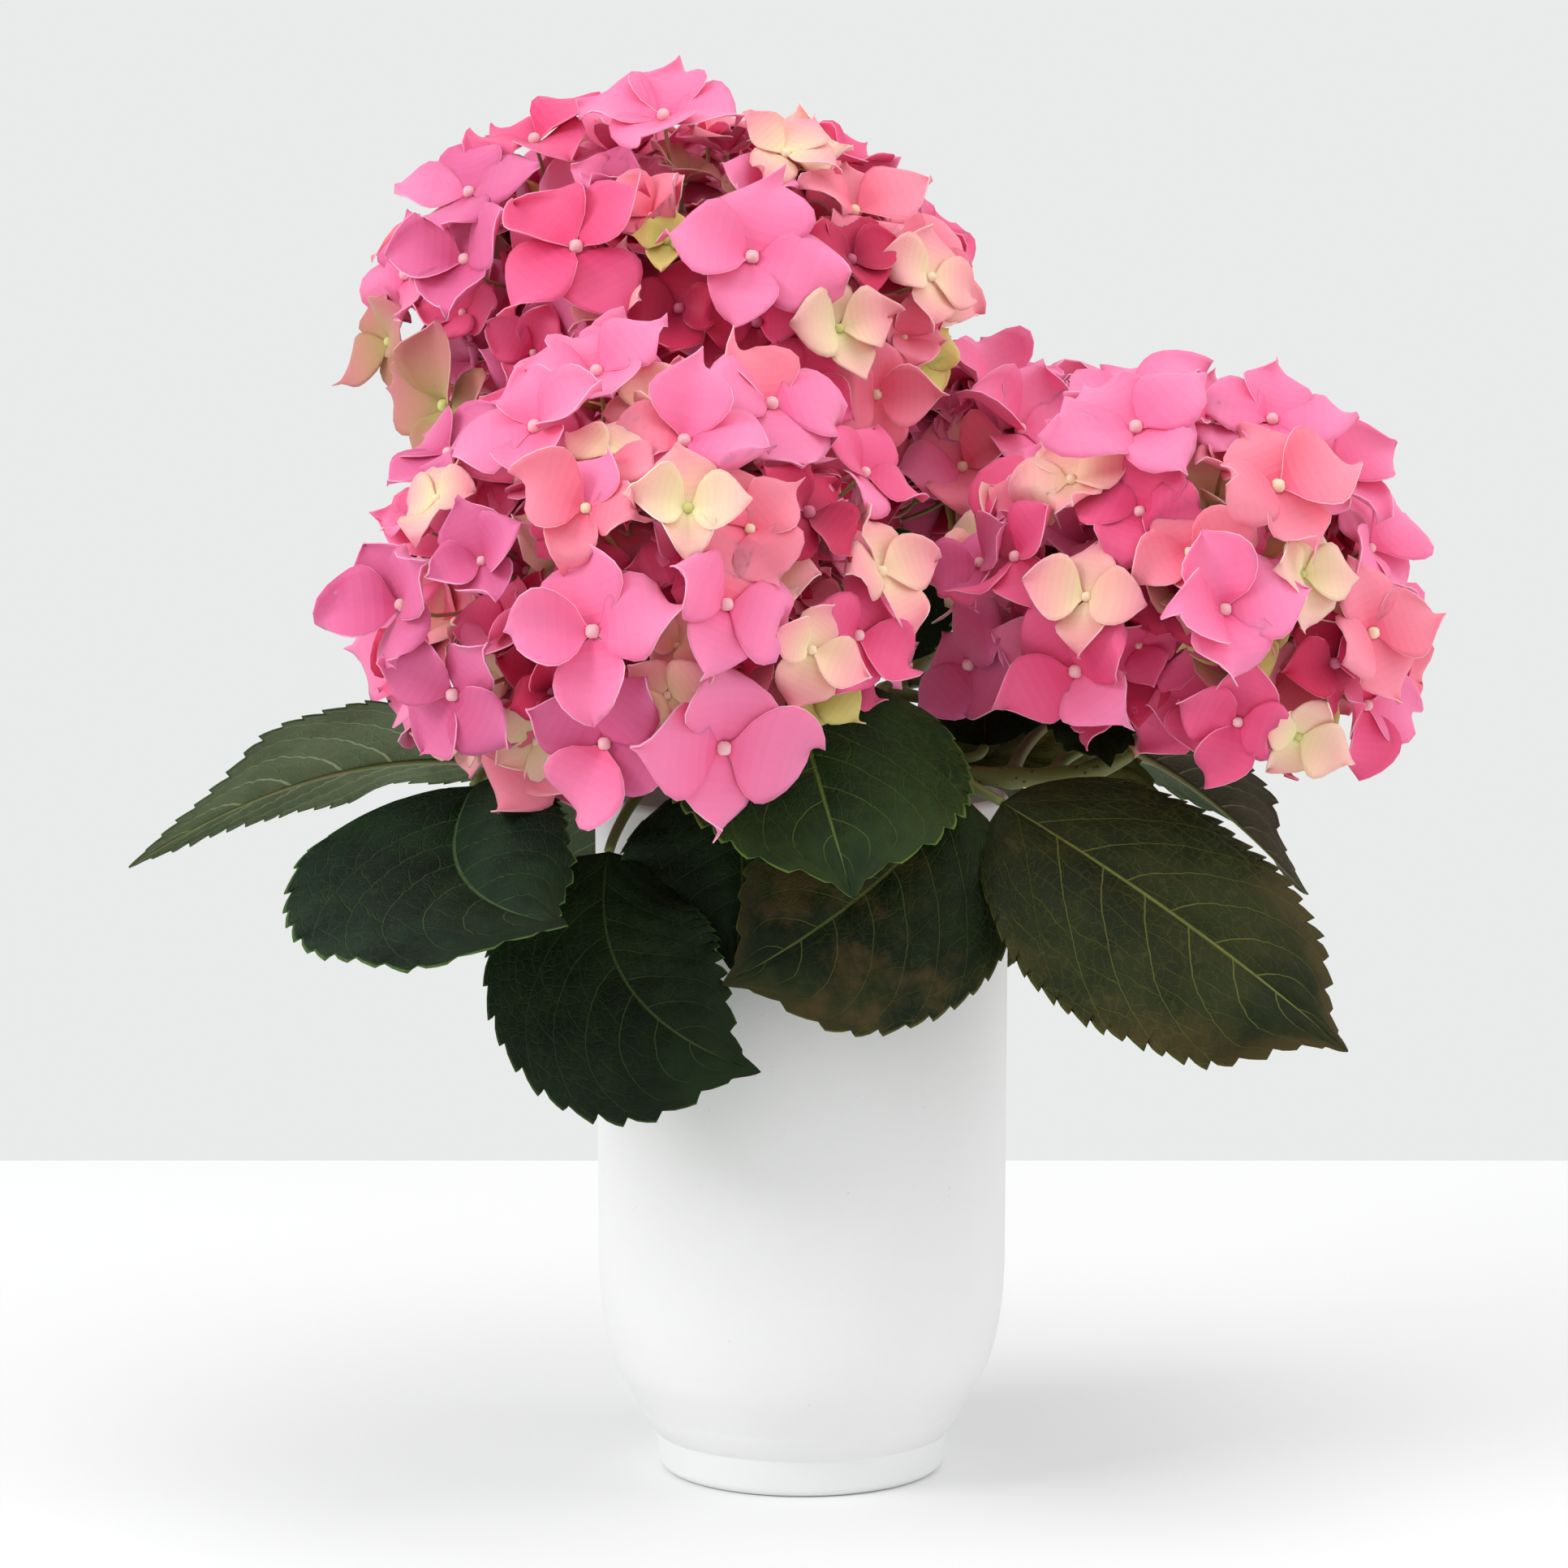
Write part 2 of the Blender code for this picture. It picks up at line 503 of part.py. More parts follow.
def floret_plans(head):
    """Each floret's place from the centre (in half sizes), tilt, radius and turn: the leading ones,
    then those of the lattice that find room between them."""
    plan = HEADS[head]
    size = sum(plan["half"]) / 3.0
    leading = [(bearing(a, h), reach, radius, math.radians(turn))
               for a, h, reach, radius, turn in LEADING[head]]
    florets = [(direction * reach, Vector((0, 0, 0)), radius, turn)
               for direction, reach, radius, turn in leading]
    to_axis = Vector((0.0, 0.0, 1.0)).rotation_difference(Vector(plan["grows"]))
    for k, direction in enumerate(lattice(plan["florets"], math.radians(plan["spread"]))):
        dice = random.Random(plan["seed"] * 1000 + k)
        direction = to_axis @ direction
        jitter = Vector((dice.uniform(-1, 1), dice.uniform(-1, 1), dice.uniform(-1, 1)))
        direction = (direction + jitter * FLORET_JITTER).normalized()
        radius = FLORET_RADIUS_MM * dice.uniform(*FLORET_SIZES)
        reach = LAYER_DEPTHS[k % len(LAYER_DEPTHS)] + dice.uniform(-LAYER_JITTER, LAYER_JITTER)
        turn = dice.uniform(0.0, math.pi / 2)
        tilt = Vector((dice.uniform(-1, 1), dice.uniform(-1, 1), dice.uniform(-1, 1))) * FLORET_TILT
        if direction.z > 0.0:
            # 4 z^2 (1 - z^2) is the square of the sine of twice the angle off the vertical
            reach *= 1.0 - plan["slope"] * 4.0 * direction.z ** 2 * (1.0 - direction.z ** 2)
        place = direction * reach
        place.x += plan["lean"] * max(place.z, 0.0)
        room = LEADING_ROOM * radius / size
        if all(direction.angle(other[0]) > room + LEADING_ROOM * other[2] / size for other in leading):
            florets.append((place, tilt, radius, turn))
    return florets


def parting_planes(head):
    """A point and a normal for each other head near by; the head keeps to the back of them."""
    plan = HEADS[head]
    planes = []
    for other, facing in HEADS.items():
        if other != head:
            between = Vector(facing["centre"]) - Vector(plan["centre"])
            own = sum(plan["half"])
            share = own / (own + sum(facing["half"]))
            planes.append(((Vector(plan["centre"]) + between * share) * MM, between.normalized()))
    return planes


def push_back(points, planes):
    """The shift that brings points back behind every parting plane that one of them has crossed."""
    shift = Vector((0.0, 0.0, 0.0))
    for place, normal in planes:
        over = max((point + shift - place).dot(normal) for point in points) + HEAD_CLEARANCE_MM * MM
        if over > 0.0:
            shift -= normal * over
    return shift


def floret_solid(centre, axis, radius, turn):
    """A shallow cupped body whose edge runs out to four petal tips, with one point above, one below."""
    across = axis.cross(Vector(FLORET_ACROSS)).normalized()
    beside = axis.cross(across)
    body = bmesh.new()
    bmesh.ops.create_uvsphere(body, u_segments=PETALS * 2, v_segments=2, radius=1.0)
    for vertex in body.verts:
        if abs(vertex.co.z) > 0.5:
            vertex.co = centre + axis * (math.copysign(0.5, vertex.co.z) * FLORET_THICKNESS_MM * MM)
            continue
        step = round(math.atan2(vertex.co.y, vertex.co.x) / (math.pi / PETALS))
        reach = 1.0 if step % 2 == 0 else NOTCH_REACH
        rise = FLORET_CUP * (reach ** 2 + PETAL_TWIST * math.cos(step * math.pi / 2))
        angle = turn + step * math.pi / PETALS
        edge = across * math.cos(angle) + beside * math.sin(angle)
        vertex.co = centre + (edge * reach + axis * rise) * radius
    return body


def pedicel_solid(start, end):
    """A three-sided stalk from inside the core to inside the floret."""
    along = end - start
    stalk = bmesh.new()
    bmesh.ops.create_cone(stalk, cap_ends=True, segments=3, radius1=PEDICEL_RADIUS_MM * MM * PEDICEL_FLARE,
                          radius2=PEDICEL_RADIUS_MM * MM, depth=along.length)
    turn = Vector((0.0, 0.0, 1.0)).rotation_difference(along)
    for vertex in stalk.verts:
        vertex.co = turn @ vertex.co + (start + end) * 0.5
    return stalk


def clear_of(solids, limbs):
    return all(not BVHTree.FromBMesh(solid).overlap(limbs) for solid in solids)


def build_head(head, limbs):
    """A small core on its stem, with florets on stalks standing out of it, fused into one solid."""
    plan = HEADS[head]
    centre = in_metres(plan["centre"])
    half = in_metres(plan["half"])
    planes = parting_planes(head)
    lift = Vector(plan["grows"]) * FLORET_LIFT
    heart = centre + Vector(plan["grows"]).normalized() * CORE_RISE_MM * MM
    for place, tilt, radius, turn in floret_plans(head):
        outward = Vector(a / b for a, b in zip(place, half)).normalized()
        axis = (outward + lift + tilt).normalized()
        place = centre + Vector(a * b for a, b in zip(place, half))
        flower = floret_solid(place, axis, radius * MM, turn)
        shift = push_back([vertex.co for vertex in flower.verts], planes)
        bmesh.ops.translate(flower, verts=flower.verts, vec=shift)
        stalk = pedicel_solid(heart + (place + shift - heart) * PEDICEL_FOOT, place + shift)
        if shift.length < DEEPEST_PUSH_MM * MM and clear_of((flower, stalk), limbs):
            for label, solid in (("floret", flower), ("pedicel", stalk)):
                mesh = bpy.data.meshes.new(label)
                solid.to_mesh(mesh)
                object_from(mesh, label, fusing, "pink_petal")
        flower.free()
        stalk.free()
    neck, along = bezier(*cane_curve(head), 1.0)
    tube("stem", [neck, neck + along * SQUARE_END_MM * MM, heart], [CANE_TIP_RADIUS_MM * MM] * 3, 1,
         fusing, "green_cane")
    ball = bmesh.new()
    bmesh.ops.create_icosphere(ball, subdivisions=2, radius=CORE_SHARE)
    for vertex in ball.verts:
        vertex.co = heart + Vector(a * b for a, b in zip(vertex.co, half))
    mesh = bpy.data.meshes.new("core")
    ball.to_mesh(mesh)
    ball.free()
    core = object_from(mesh, "core", plant, "pink_petal")
    return fuse("bloom_" + head, core, "pink_petal")


def joined_tree(objects):
    """One search tree over the surfaces of several objects."""
    everything = bmesh.new()
    for made in objects:
        everything.from_mesh(made.data)
    tree = BVHTree.FromBMesh(everything)
    everything.free()
    return tree


build_pot()
build_soil()
build_crown()
canes = [build_cane(head) for head in HEADS]
leaves = [build_leaf(name) for name in LEAVES]
limbs = joined_tree(canes + leaves)
for head in HEADS:
    build_head(head, limbs)
bpy.data.collections.remove(fusing)
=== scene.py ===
"""The looks of a potted hydrangea: fine petals, veined leaves, stalks, bark, potting mix and a white
bisque pot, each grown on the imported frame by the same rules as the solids. Metres, +Z up, the
origin under the middle of the pot, -Y the front. Sizes named _MM are in millimetres."""

import math
import random
from collections import namedtuple

import bpy
import numpy as np
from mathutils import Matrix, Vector
from mathutils.bvhtree import BVHTree


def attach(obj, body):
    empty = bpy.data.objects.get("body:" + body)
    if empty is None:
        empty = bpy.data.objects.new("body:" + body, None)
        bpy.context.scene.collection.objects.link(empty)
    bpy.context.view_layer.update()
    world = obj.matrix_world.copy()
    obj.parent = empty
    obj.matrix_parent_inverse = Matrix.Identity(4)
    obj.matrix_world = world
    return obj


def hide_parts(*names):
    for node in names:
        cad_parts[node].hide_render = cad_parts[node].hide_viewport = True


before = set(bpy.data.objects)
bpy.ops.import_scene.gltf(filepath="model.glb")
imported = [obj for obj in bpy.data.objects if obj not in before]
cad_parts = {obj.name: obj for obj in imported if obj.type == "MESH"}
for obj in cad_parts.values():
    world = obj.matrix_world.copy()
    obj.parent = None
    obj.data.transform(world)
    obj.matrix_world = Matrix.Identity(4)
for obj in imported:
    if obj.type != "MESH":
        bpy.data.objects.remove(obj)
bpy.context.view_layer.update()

MM = 0.001

# --- camera, table, backdrop and lights ---
CAMERA_TARGET = (-0.0059, 0.0, 0.2277)
CAMERA_DISTANCE = 1.5
CAMERA_PITCH = math.radians(5.8)
CAMERA_LENS_MM = 104.7
CAMERA_SENSOR_MM = 36.0
TABLE_BACK_EDGE = 0.55
TABLE_HALF_WIDTH = 1.1
BACKDROP = (0.815, 0.831, 0.823)
TABLE_WHITE = (0.90, 0.90, 0.90)
# each light: where it is, how wide (m) and how strong (W)
LIGHTS = {
    "key_light": ((-1.5, -0.85, 1.25), 0.9, 15.5),
    "top_light": ((0.35, -0.5, 2.3), 1.4, 9.0),
    "side_light": ((1.6, -0.35, 1.1), 1.0, 6.0),
}
LIGHTS_AIM = (0.0, 0.0, 0.25)

# --- pot, as the solid's named sizes ---
POT_HEIGHT_MM = 225.0
POT_TOP_RADIUS_MM = 68.0
POT_BODY_RADIUS_MM = 67.4
POT_SHOULDER_HEIGHT_MM = 72.0
POT_SHOULDER_DROP_MM = 46.0
POT_SHOULDER_INSET_MM = 14.0
POT_SHOULDER_TURN = math.radians(60.0)
POT_CREASE_RADIUS_MM = 49.9
POT_CREASE_HEIGHT_MM = 14.2
FOOT_TOP_RADIUS_MM = 48.7
FOOT_TOP_HEIGHT_MM = 13.2
FOOT_RADIUS_MM = 47.2
FOOT_FILLET_MM = 3.3
FOOT_RECESS_MM = 1.6
FOOT_CHAMFER_MM = 0.35
FOOT_RIM_MM = 1.6
RECESS_RADII_MM = (39.0, 37.8, 36.5, 18.0)
POT_WALL_MM = 5.0
POT_FLOOR_MM = 9.0
POT_FLOOR_RADIUS_MM = 42.0
POT_SIDES = 192
PINHOLE_MM = 0.3

# --- soil ---
SOIL_TOP_MM = 205.0
SOIL_MOUND_MM = 3.0
SOIL_MOUND_FOOT_MM = 15.0
SOIL_GAP_MM = 0.3
SOIL_SINK_MM = 0.2
SOIL_SIDES = 150
# lumps: height, length and seed of each kind of wave (mm)
SOIL_LUMPS = ((1.3, 16.0, 7), (0.9, 5.5, 8), (0.5, 2.4, 9))
SOIL_LUMP_SINK_MM = 0.8
# the rings between which the lumps rise from the flat at the crown and die out at the wall
SOIL_CALM_IN_MM = (10.0, 18.0)
SOIL_CALM_OUT_MM = (59.0, 62.0)
CRUMBS = 620
CRUMB_SEED = 17
CRUMB_SIZES_MM = (0.5, 2.0)
CRUMB_SIZE_POWER = 1.2
CRUMB_NEAREST = 0.055
CRUMB_SHARES = (0.62, 0.27, 0.11)

# --- crown and canes ---
CROWN_HEIGHT_MM = 20.0
CROWN_FLARE_RADIUS_MM = 13.5
CROWN_TOP_RADIUS_MM = 9.9
CROWN_FLARE_POWER = 2.2
CROWN_DRAWN_IN = 0.1
CROWN_SHOULDER = 12.0
CROWN_STATIONS = 30
CROWN_SIDES = 64
# bark: the depth, length and seed of its plates and of its furrows, as shares of the radius
CROWN_BARK = ((0.045, 5.0, 3), (0.03, 1.6, 4))
CROWN_BARK_PLACE = 9.0
GAP_MM = 0.3
CANE_STATIONS = 73
CANE_SIDES = 20
CANE_RING_WIDTH = 0.022
CANE_RING_GROWTH = 0.26
CANE_RIDGES = 6.0
CANE_RIDGE_HEIGHT = 0.025
CANE_WAVER = 0.03
CANE_WAVER_MM = 9.0
CANE_FOOT_OFFSET_MM = 4.3
CANE_FOOT_RADIUS_MM = 3.7
CANE_TIP_RADIUS_MM = 3.0
CANE_NODES = 9
CANE_FOOT_MM = SOIL_TOP_MM + SOIL_MOUND_MM + GAP_MM + CROWN_HEIGHT_MM + GAP_MM

# --- florets ---
FLORET_RADIUS_MM = 25.5
FLORET_SIZES = (0.84, 1.14)
# how far a floret turns towards its head's own direction and the front, leans, and strays at random
FLORET_LIFT = 0.30
FRONT_TURN = 0.36
FLORET_TILT = 0.20
LEADING_TILT = 0.16
FLORET_JITTER = 0.07
# the plain star that stands for a floret where it may touch something
FLORET_ACROSS = (0.13, 0.21, 0.97)
FLORET_THICKNESS_MM = 5.0
FLORET_CUP = 0.16
NOTCH_REACH = 0.62
# depths that the lattice's florets take in turn, in half sizes of the head
LAYER_DEPTHS = (1.0, 0.86, 0.94, 0.80)
LAYER_JITTER = 0.03
# room that leading florets need, in radii, and what gives way to them: others are left out, set
# back by a share, or kept beneath
LEADING_ROOM = 0.62
BESIDE_ROOM = 0.95
BESIDE_SHARE = 0.94
BENEATH_ROOM = 0.50
BENEATH_REACH = 0.72
# the cone under a leading floret that holds its neighbours' petals down, and where its limit rises
PRESS_CONE = 0.80
PRESS_ROOM_MM = 2.6
PRESS_ENDS = (0.82, 1.20)
PRESS_RISE_MM = 45.0
DEEPEST_PUSH_MM = 22.0
HEAD_CLEARANCE_MM = 0.4
GOLDEN_ANGLE = math.pi * (3.0 - math.sqrt(5.0))
LEADING_CUP_DEG = (12, 36)
OUTER_CUP_DEG = (14, 42)
TOP_CUP_DEG = 14
CUP_SINKING = 0.75
FILLING_SPREAD_DEG = 4

# --- petals ---
PETALS = 4
PETAL_THICKNESS_MM = 0.42
PETAL_GROWTH = 1.06
PETAL_CUP_GROWTH = 0.25
PETAL_WIDEST_AT = 0.50
PETAL_CLAW = 0.12
PETAL_CLAW_ENDS = (0.03, 0.17)
PETAL_TIP_WIDTH = 0.015
PETAL_ROWS = np.array([0.04, 0.11, 0.20, 0.30, 0.41, 0.52, 0.63, 0.74, 0.84, 0.93, 1.0])
PETAL_COLUMNS = np.array([-1.0, -0.82, -0.56, -0.27, 0.0, 0.27, 0.56, 0.82, 1.0])
# the rows and columns of that grid that the petals deep in a head keep
DEEP_ROWS = [0, 2, 4, 6, 8, 9, 10]
DEEP_COLUMNS = [0, 2, 4, 6, 8]
# the low and high end of each measure that differs from petal to petal
PETAL_RANGES = dict(angle=(-0.12, 0.12), cup=(-0.14, 0.14), end=(-0.65, 0.35), tip=(-1.2, 0.7),
                    length=(0.92, 1.10), point=(0.85, 1.75), breadth=(0.40, 0.54), dish=(-0.15, 0.45),
                    keel=(0.0, 0.35), roll=(-0.35, 0.25), wave_count=(0.8, 1.7), wave_start=(0.0, 1.0),
                    wave=(0.05, 0.19), twist=(-0.14, 0.14), bend=(-0.12, 0.12))
# every second petal of a floret stands a step above its neighbours and cups more
PETAL_PAIR_STEP_MM = 1.0
PETAL_PAIR_SLOPE = 5.0
PETAL_PAIR_CUP = 0.10
# zones of colour from heart to tip
PETAL_ZONES = 8
ZONE_STRETCH = 1.05
ZONE_SHIFT = (-0.7, 0.4)
ZONE_FADE_POWER = 0.7

# --- eyes and stalks of the florets ---
EYE_RADIUS_MM = 2.4
EYE_SIZES = (0.6, 1.0)
EYE_STANDING = 0.75
EYE_LOBES = 4
EYE_GROOVE = 0.12
DUSKY_EYE_GROWTH = 1.25
RAYS = 9
RAY_SPREAD = 0.8
RAY_REACH = 0.42
RAY_RADIUS_MM = 1.35
RAY_FOOT_GROWTH = 1.35
RAY_BOW_MM = 8.0
HUB_SHARE = 0.45
NECK_LEAD_MM = 12.0
STALK_STATIONS = 8
STALK_SIDES = dict(main=12, ray=8, floret=6)
STALK_RADIUS_MM = 0.75
STALK_TAPER = (1.15, 0.85)
STALK_BOW = 0.45
STALK_SINKING_MM = 0.4

# name: centre, half sizes, the direction it grows in, spread of its florets from that (deg), their
# count before the leading ones, seed, slope of the dome's shoulders, lean of its top, the neck
# where its cane ends, and the cane's two bends (mm)
HEADS = {
    "front": dict(centre=(-51, -66, 290), half=(86, 80, 84), grows=(-0.1, -0.45, 0.9), spread=108,
                  florets=44, seed=11, slope=0.07, lean=0.05,
                  neck=(-41, -47, 240), bend_1=(-8, -9, 245), bend_2=(-36, -40, 222)),
    "top": dict(centre=(-40, 55, 378), half=(110, 86, 82), grows=(0.0, -0.1, 1.0), spread=108,
                florets=50, seed=23, slope=0.15, lean=-0.07,
                neck=(-30, 42, 322), bend_1=(-5, 8, 262), bend_2=(-26, 36, 296)),
    "right": dict(centre=(125, -12, 287), half=(77, 74, 76), grows=(0.1, -0.3, 0.9), spread=112,
                  florets=40, seed=37, slope=0.09, lean=-0.19,
                  neck=(106, -18, 240), bend_1=(8, -8, 246), bend_2=(78, -32, 220)),
    "rear": dict(centre=(62, 95, 320), half=(56, 54, 52), grows=(0.15, 0.35, 0.93), spread=108,
                 florets=24, seed=53, slope=0.05, lean=0.0,
                 neck=(50, 77, 276), bend_1=(8, 10, 255), bend_2=(41, 62, 250)),
}

# florets that lead each head: azimuth from the front and height above level (deg), reach in half
# sizes of the head, radius (mm), turn about its own axis (deg), and its colour
LEADING = {
    "front": ((-7, -26, 1.00, 23, 340, "lilac"), (58, -4, 0.98, 21, 255, "rose"),
              (21, -27, 1.04, 27, 275, "bright"), (-8, -1, 1.02, 25, 285, "bright"),
              (20, 5, 1.04, 23, 255, "bright"), (12, 24, 1.02, 18, 275, "cream"),
              (-11, 25, 1.00, 19, 260, "salmon"), (27, 21, 1.00, 19, 220, "salmon"),
              (40, -6, 1.00, 17, 255, "blush"), (-56, 4, 1.06, 23, 300, "lilac"),
              (-43, -16, 1.00, 23, 235, "lilac"), (8, -16, 0.94, 15, 320, "blush"),
              (49, 25, 0.92, 19, 225, "crimson"), (67, 10, 1.00, 20, 290, "blush"),
              (-32, 46, 1.00, 24, 300, "bright"), (14, 44, 1.01, 25, 270, "bright"),
              (-7, 39, 0.95, 16, 245, "blush"), (59, 54, 1.00, 24, 280, "bright"),
              (-30, 71, 1.00, 24, 310, "bright"), (82, 32, 1.00, 20, 250, "rose"),
              (-36, 14, 0.98, 18, 300, "lilac"), (-76, 40, 0.97, 20, 250, "lilac"),
              (-58, 27, 0.96, 15, 280, "blush")),
    "top": ((-18, 19, 1.02, 28, 320, "rose"), (13, 16, 1.03, 28, 260, "bright"),
            (-7, 63, 1.00, 25, 275, "bright"), (0, 5, 0.90, 17, 270, "crimson"),
            (15, 1, 0.90, 17, 275, "crimson"), (-45, 18, 0.98, 23, 285, "lilac"),
            (29, 0, 1.00, 18, 295, "cream"), (54, 12, 0.96, 18, 260, "blush"),
            (-52, -20, 1.00, 26, 345, "olive"), (-78, -4, 0.94, 20, 300, "olive"),
            (24, -15, 0.92, 19, 250, "rose"), (42, -17, 0.95, 20, 280, "salmon"),
            (-73, 14, 0.93, 23, 300, "lilac"), (-68, 58, 0.92, 24, 330, "rose"),
            (-56, 36, 0.96, 23, 290, "lilac"), (49, 36, 0.90, 22, 270, "salmon"),
            (32, 50, 0.94, 18, 250, "blush"), (70, 24, 0.86, 20, 300, "salmon"),
            (38, 19, 0.92, 17, 280, "crimson"), (-2, 21, 0.95, 11, 270, "lime"),
            (-13, 9, 0.95, 15, 250, "blush")),
    "right": ((5, 4, 1.03, 23, 290, "bright"), (-29, 6, 1.02, 18, 270, "blush"),
              (-33, -12, 1.03, 25, 310, "rose"), (-25, 52, 1.06, 26, 320, "bright"),
              (-53, 15, 1.00, 21, 310, "rose"), (29, -31, 1.00, 15, 255, "cream"),
              (-76, -12, 1.10, 23, 330, "lilac"), (9, -26, 1.00, 19, 260, "rose"),
              (-68, 12, 1.05, 20, 300, "lilac"), (22, 34, 1.01, 25, 300, "salmon"),
              (-43, 37, 0.98, 20, 290, "blush"), (-19, 31, 0.96, 21, 260, "rose"),
              (-4, 19, 0.92, 19, 300, "salmon"), (64, 42, 0.92, 21, 300, "bright"),
              (38, 58, 0.98, 22, 260, "bright"),
              (28, 12, 0.95, 16, 280, "cream"), (50, -4, 0.97, 22, 300, "salmon"),
              (66, 19, 0.90, 20, 310, "bright"), (58, -24, 0.97, 21, 280, "rose"),
              (-80, 76, 1.00, 24, 320, "bright"), (8, 62, 0.96, 19, 280, "bright"),
              # this crimson floret fills the right head's dark red gap: partly a real floret, partly
              # painted shade
              (38, -12, 0.92, 17, 300, "crimson")),
    "rear": ((-20, 22, 1.00, 23, 300, "salmon"), (22, 30, 1.00, 24, 260, "bright"),
             (0, 62, 1.00, 24, 280, "bright"), (50, 12, 1.00, 22, 250, "salmon")),
}

# petal colours: at the heart, at the tip and along the rim
PETAL_COLOURS = {
    "bright": ((0.92, 0.13, 0.31), (0.97, 0.25, 0.46), (0.98, 0.46, 0.64)),
    "rose": ((0.74, 0.045, 0.17), (0.87, 0.125, 0.29), (0.93, 0.33, 0.48)),
    # lilac: darkened, partly its own tint and partly painted shade on the left of the heads
    "lilac": ((0.61, 0.070, 0.21), (0.75, 0.165, 0.36), (0.90, 0.40, 0.58)),
    "salmon": ((0.90, 0.135, 0.235), (0.96, 0.28, 0.375), (0.98, 0.50, 0.56)),
    "blush": ((0.92, 0.70, 0.43), (0.95, 0.33, 0.40), (0.98, 0.60, 0.60)),
    "cream": ((0.90, 0.83, 0.45), (0.97, 0.50, 0.46), (0.98, 0.78, 0.64)),
    # crimson: very dark, partly the real deep-red florets and partly painted shade in the gaps between
    # florets
    "crimson": ((0.32, 0.008, 0.050), (0.64, 0.028, 0.105), (0.74, 0.15, 0.23)),
    "olive": ((0.43, 0.32, 0.12), (0.57, 0.17, 0.20), (0.72, 0.38, 0.34)),
    "lime": ((0.44, 0.47, 0.06), (0.80, 0.66, 0.24), (0.88, 0.78, 0.40)),
}
PETAL_KINDS = list(PETAL_COLOURS)
# how often each colour falls to a floret of the outer shell
OUTER_SHARES = dict(bright=34, rose=14, lilac=14, salmon=17, blush=7, cream=2, crimson=2, olive=2)
# the smaller florets of the inner shell, mostly crimson and rose, partly real deep-red florets and
# partly painted shade deep in the head, and the young ones between the two: seed, count as a share of
# the shell's, reach in half sizes of the head, radius as a share, cup (deg), and how often each colour
# falls to them
FILLING = {
    "inner": dict(seed=2000, count=1.0, reach=(0.54, 0.76), sizes=(0.70, 0.94), cups=(5, 40),
                  shares=dict(bright=5, rose=30, lilac=5, salmon=9, blush=3, cream=2, crimson=42,
                              olive=6)),
    "young": dict(seed=3000, count=1.1, reach=(0.76, 0.91), sizes=(0.40, 0.68), cups=(30, 62),
                  shares=dict(bright=16, rose=20, salmon=18, blush=16, cream=8, crimson=12, olive=8,
                              lime=8)),
}
# what is added to a colour's share at the top, left, right, underside and deep inside of a head
# bright pink weighted to the tops of the heads: painted light from above
TOP_PAINTED_LIGHT = 30
# lilac weighted to the left: partly the florets' own tint, partly painted shade on the heads' left sides
LEFT_LILAC_AND_SHADE = 34
RIGHT_SALMON = 16
LOW_CREAM = 8
# crimson weighted to low florets deep in a head: partly real deep-red florets, partly painted shade
DEEP_CRIMSON_AND_SHADE = 6
DEEP_FROM = 0.9
# some petals are of the colour next to their floret's
ODD_PETAL_CHANCE = 0.08
ODD_KIND = dict(bright="salmon", rose="bright", lilac="bright", salmon="bright", blush="salmon",
                cream="blush", crimson="rose", olive="salmon", lime="cream")
EYE_OF_KIND = dict(bright="pink", rose="pink", lilac="pink", salmon="cream", blush="cream",
                   cream="green", crimson="dusky", olive="green", lime="green")
EYE_COLOURS = dict(pink=(0.86, 0.50, 0.54), cream=(0.88, 0.72, 0.52), green=(0.62, 0.64, 0.24),
                   dusky=(0.55, 0.14, 0.24))

# --- leaves ---
BLADE_WIDEST_AT = 0.42
BLADE_BASE_POWER = 0.55
BLADE_TIP_STRETCH = 1.15
BLADE_TIP_POWER = 0.9
BLADE_CURL = 0.18
# between these shares of its length a blade draws in by this share of its width
BLADE_DRAWN_TIP = (0.78, 0.97, 0.55)
BLADE_THICKNESS_MM = 0.55
HALF_COLUMNS = np.array([0.025, 0.07, 0.15, 0.24, 0.33, 0.42, 0.51, 0.60, 0.69, 0.78, 0.86, 0.93,
                         0.975, 1.0])
BLADE_COLUMNS = np.concatenate((HALF_COLUMNS[::-1], [0.0], -HALF_COLUMNS))
BLADE_END = 0.999
# teeth: their back rises to a point late in each, and the margin takes them by a high power
TOOTH_POINT_AT = 0.8
TOOTH_STATIONS = np.array([0.0, 0.28, 0.56, TOOTH_POINT_AT, 0.92])
TOOTH_BACK_POWER = 0.65
TOOTH_MIDDLE = 0.6
TOOTH_SPACING_MM = 6.2
TOOTH_DEPTH_MM = 2.2
TOOTH_FORWARD_MM = 2.0
TOOTH_SIZES = (0.7, 1.1)
TOOTH_SWING = 0.25
TOOTH_SWING_TURN = 2.4
TOOTH_FULL_FROM = 0.10
TOOTH_WIDTH_GROWTH = 1.8
FEWEST_TEETH = 9
MARGIN_POWER = 14
# side veins: how many, how far their ends lead and arch towards the tip, and how much later they
# leave the midrib on one half; rungs between them, and how far these shift from gap to gap
VEINS = 8
VEIN_LEAD = 0.20
VEIN_ARCH = 0.20
VEIN_OFFSET = 0.03
RUNGS = 6
RUNG_OFFSET = 0.37
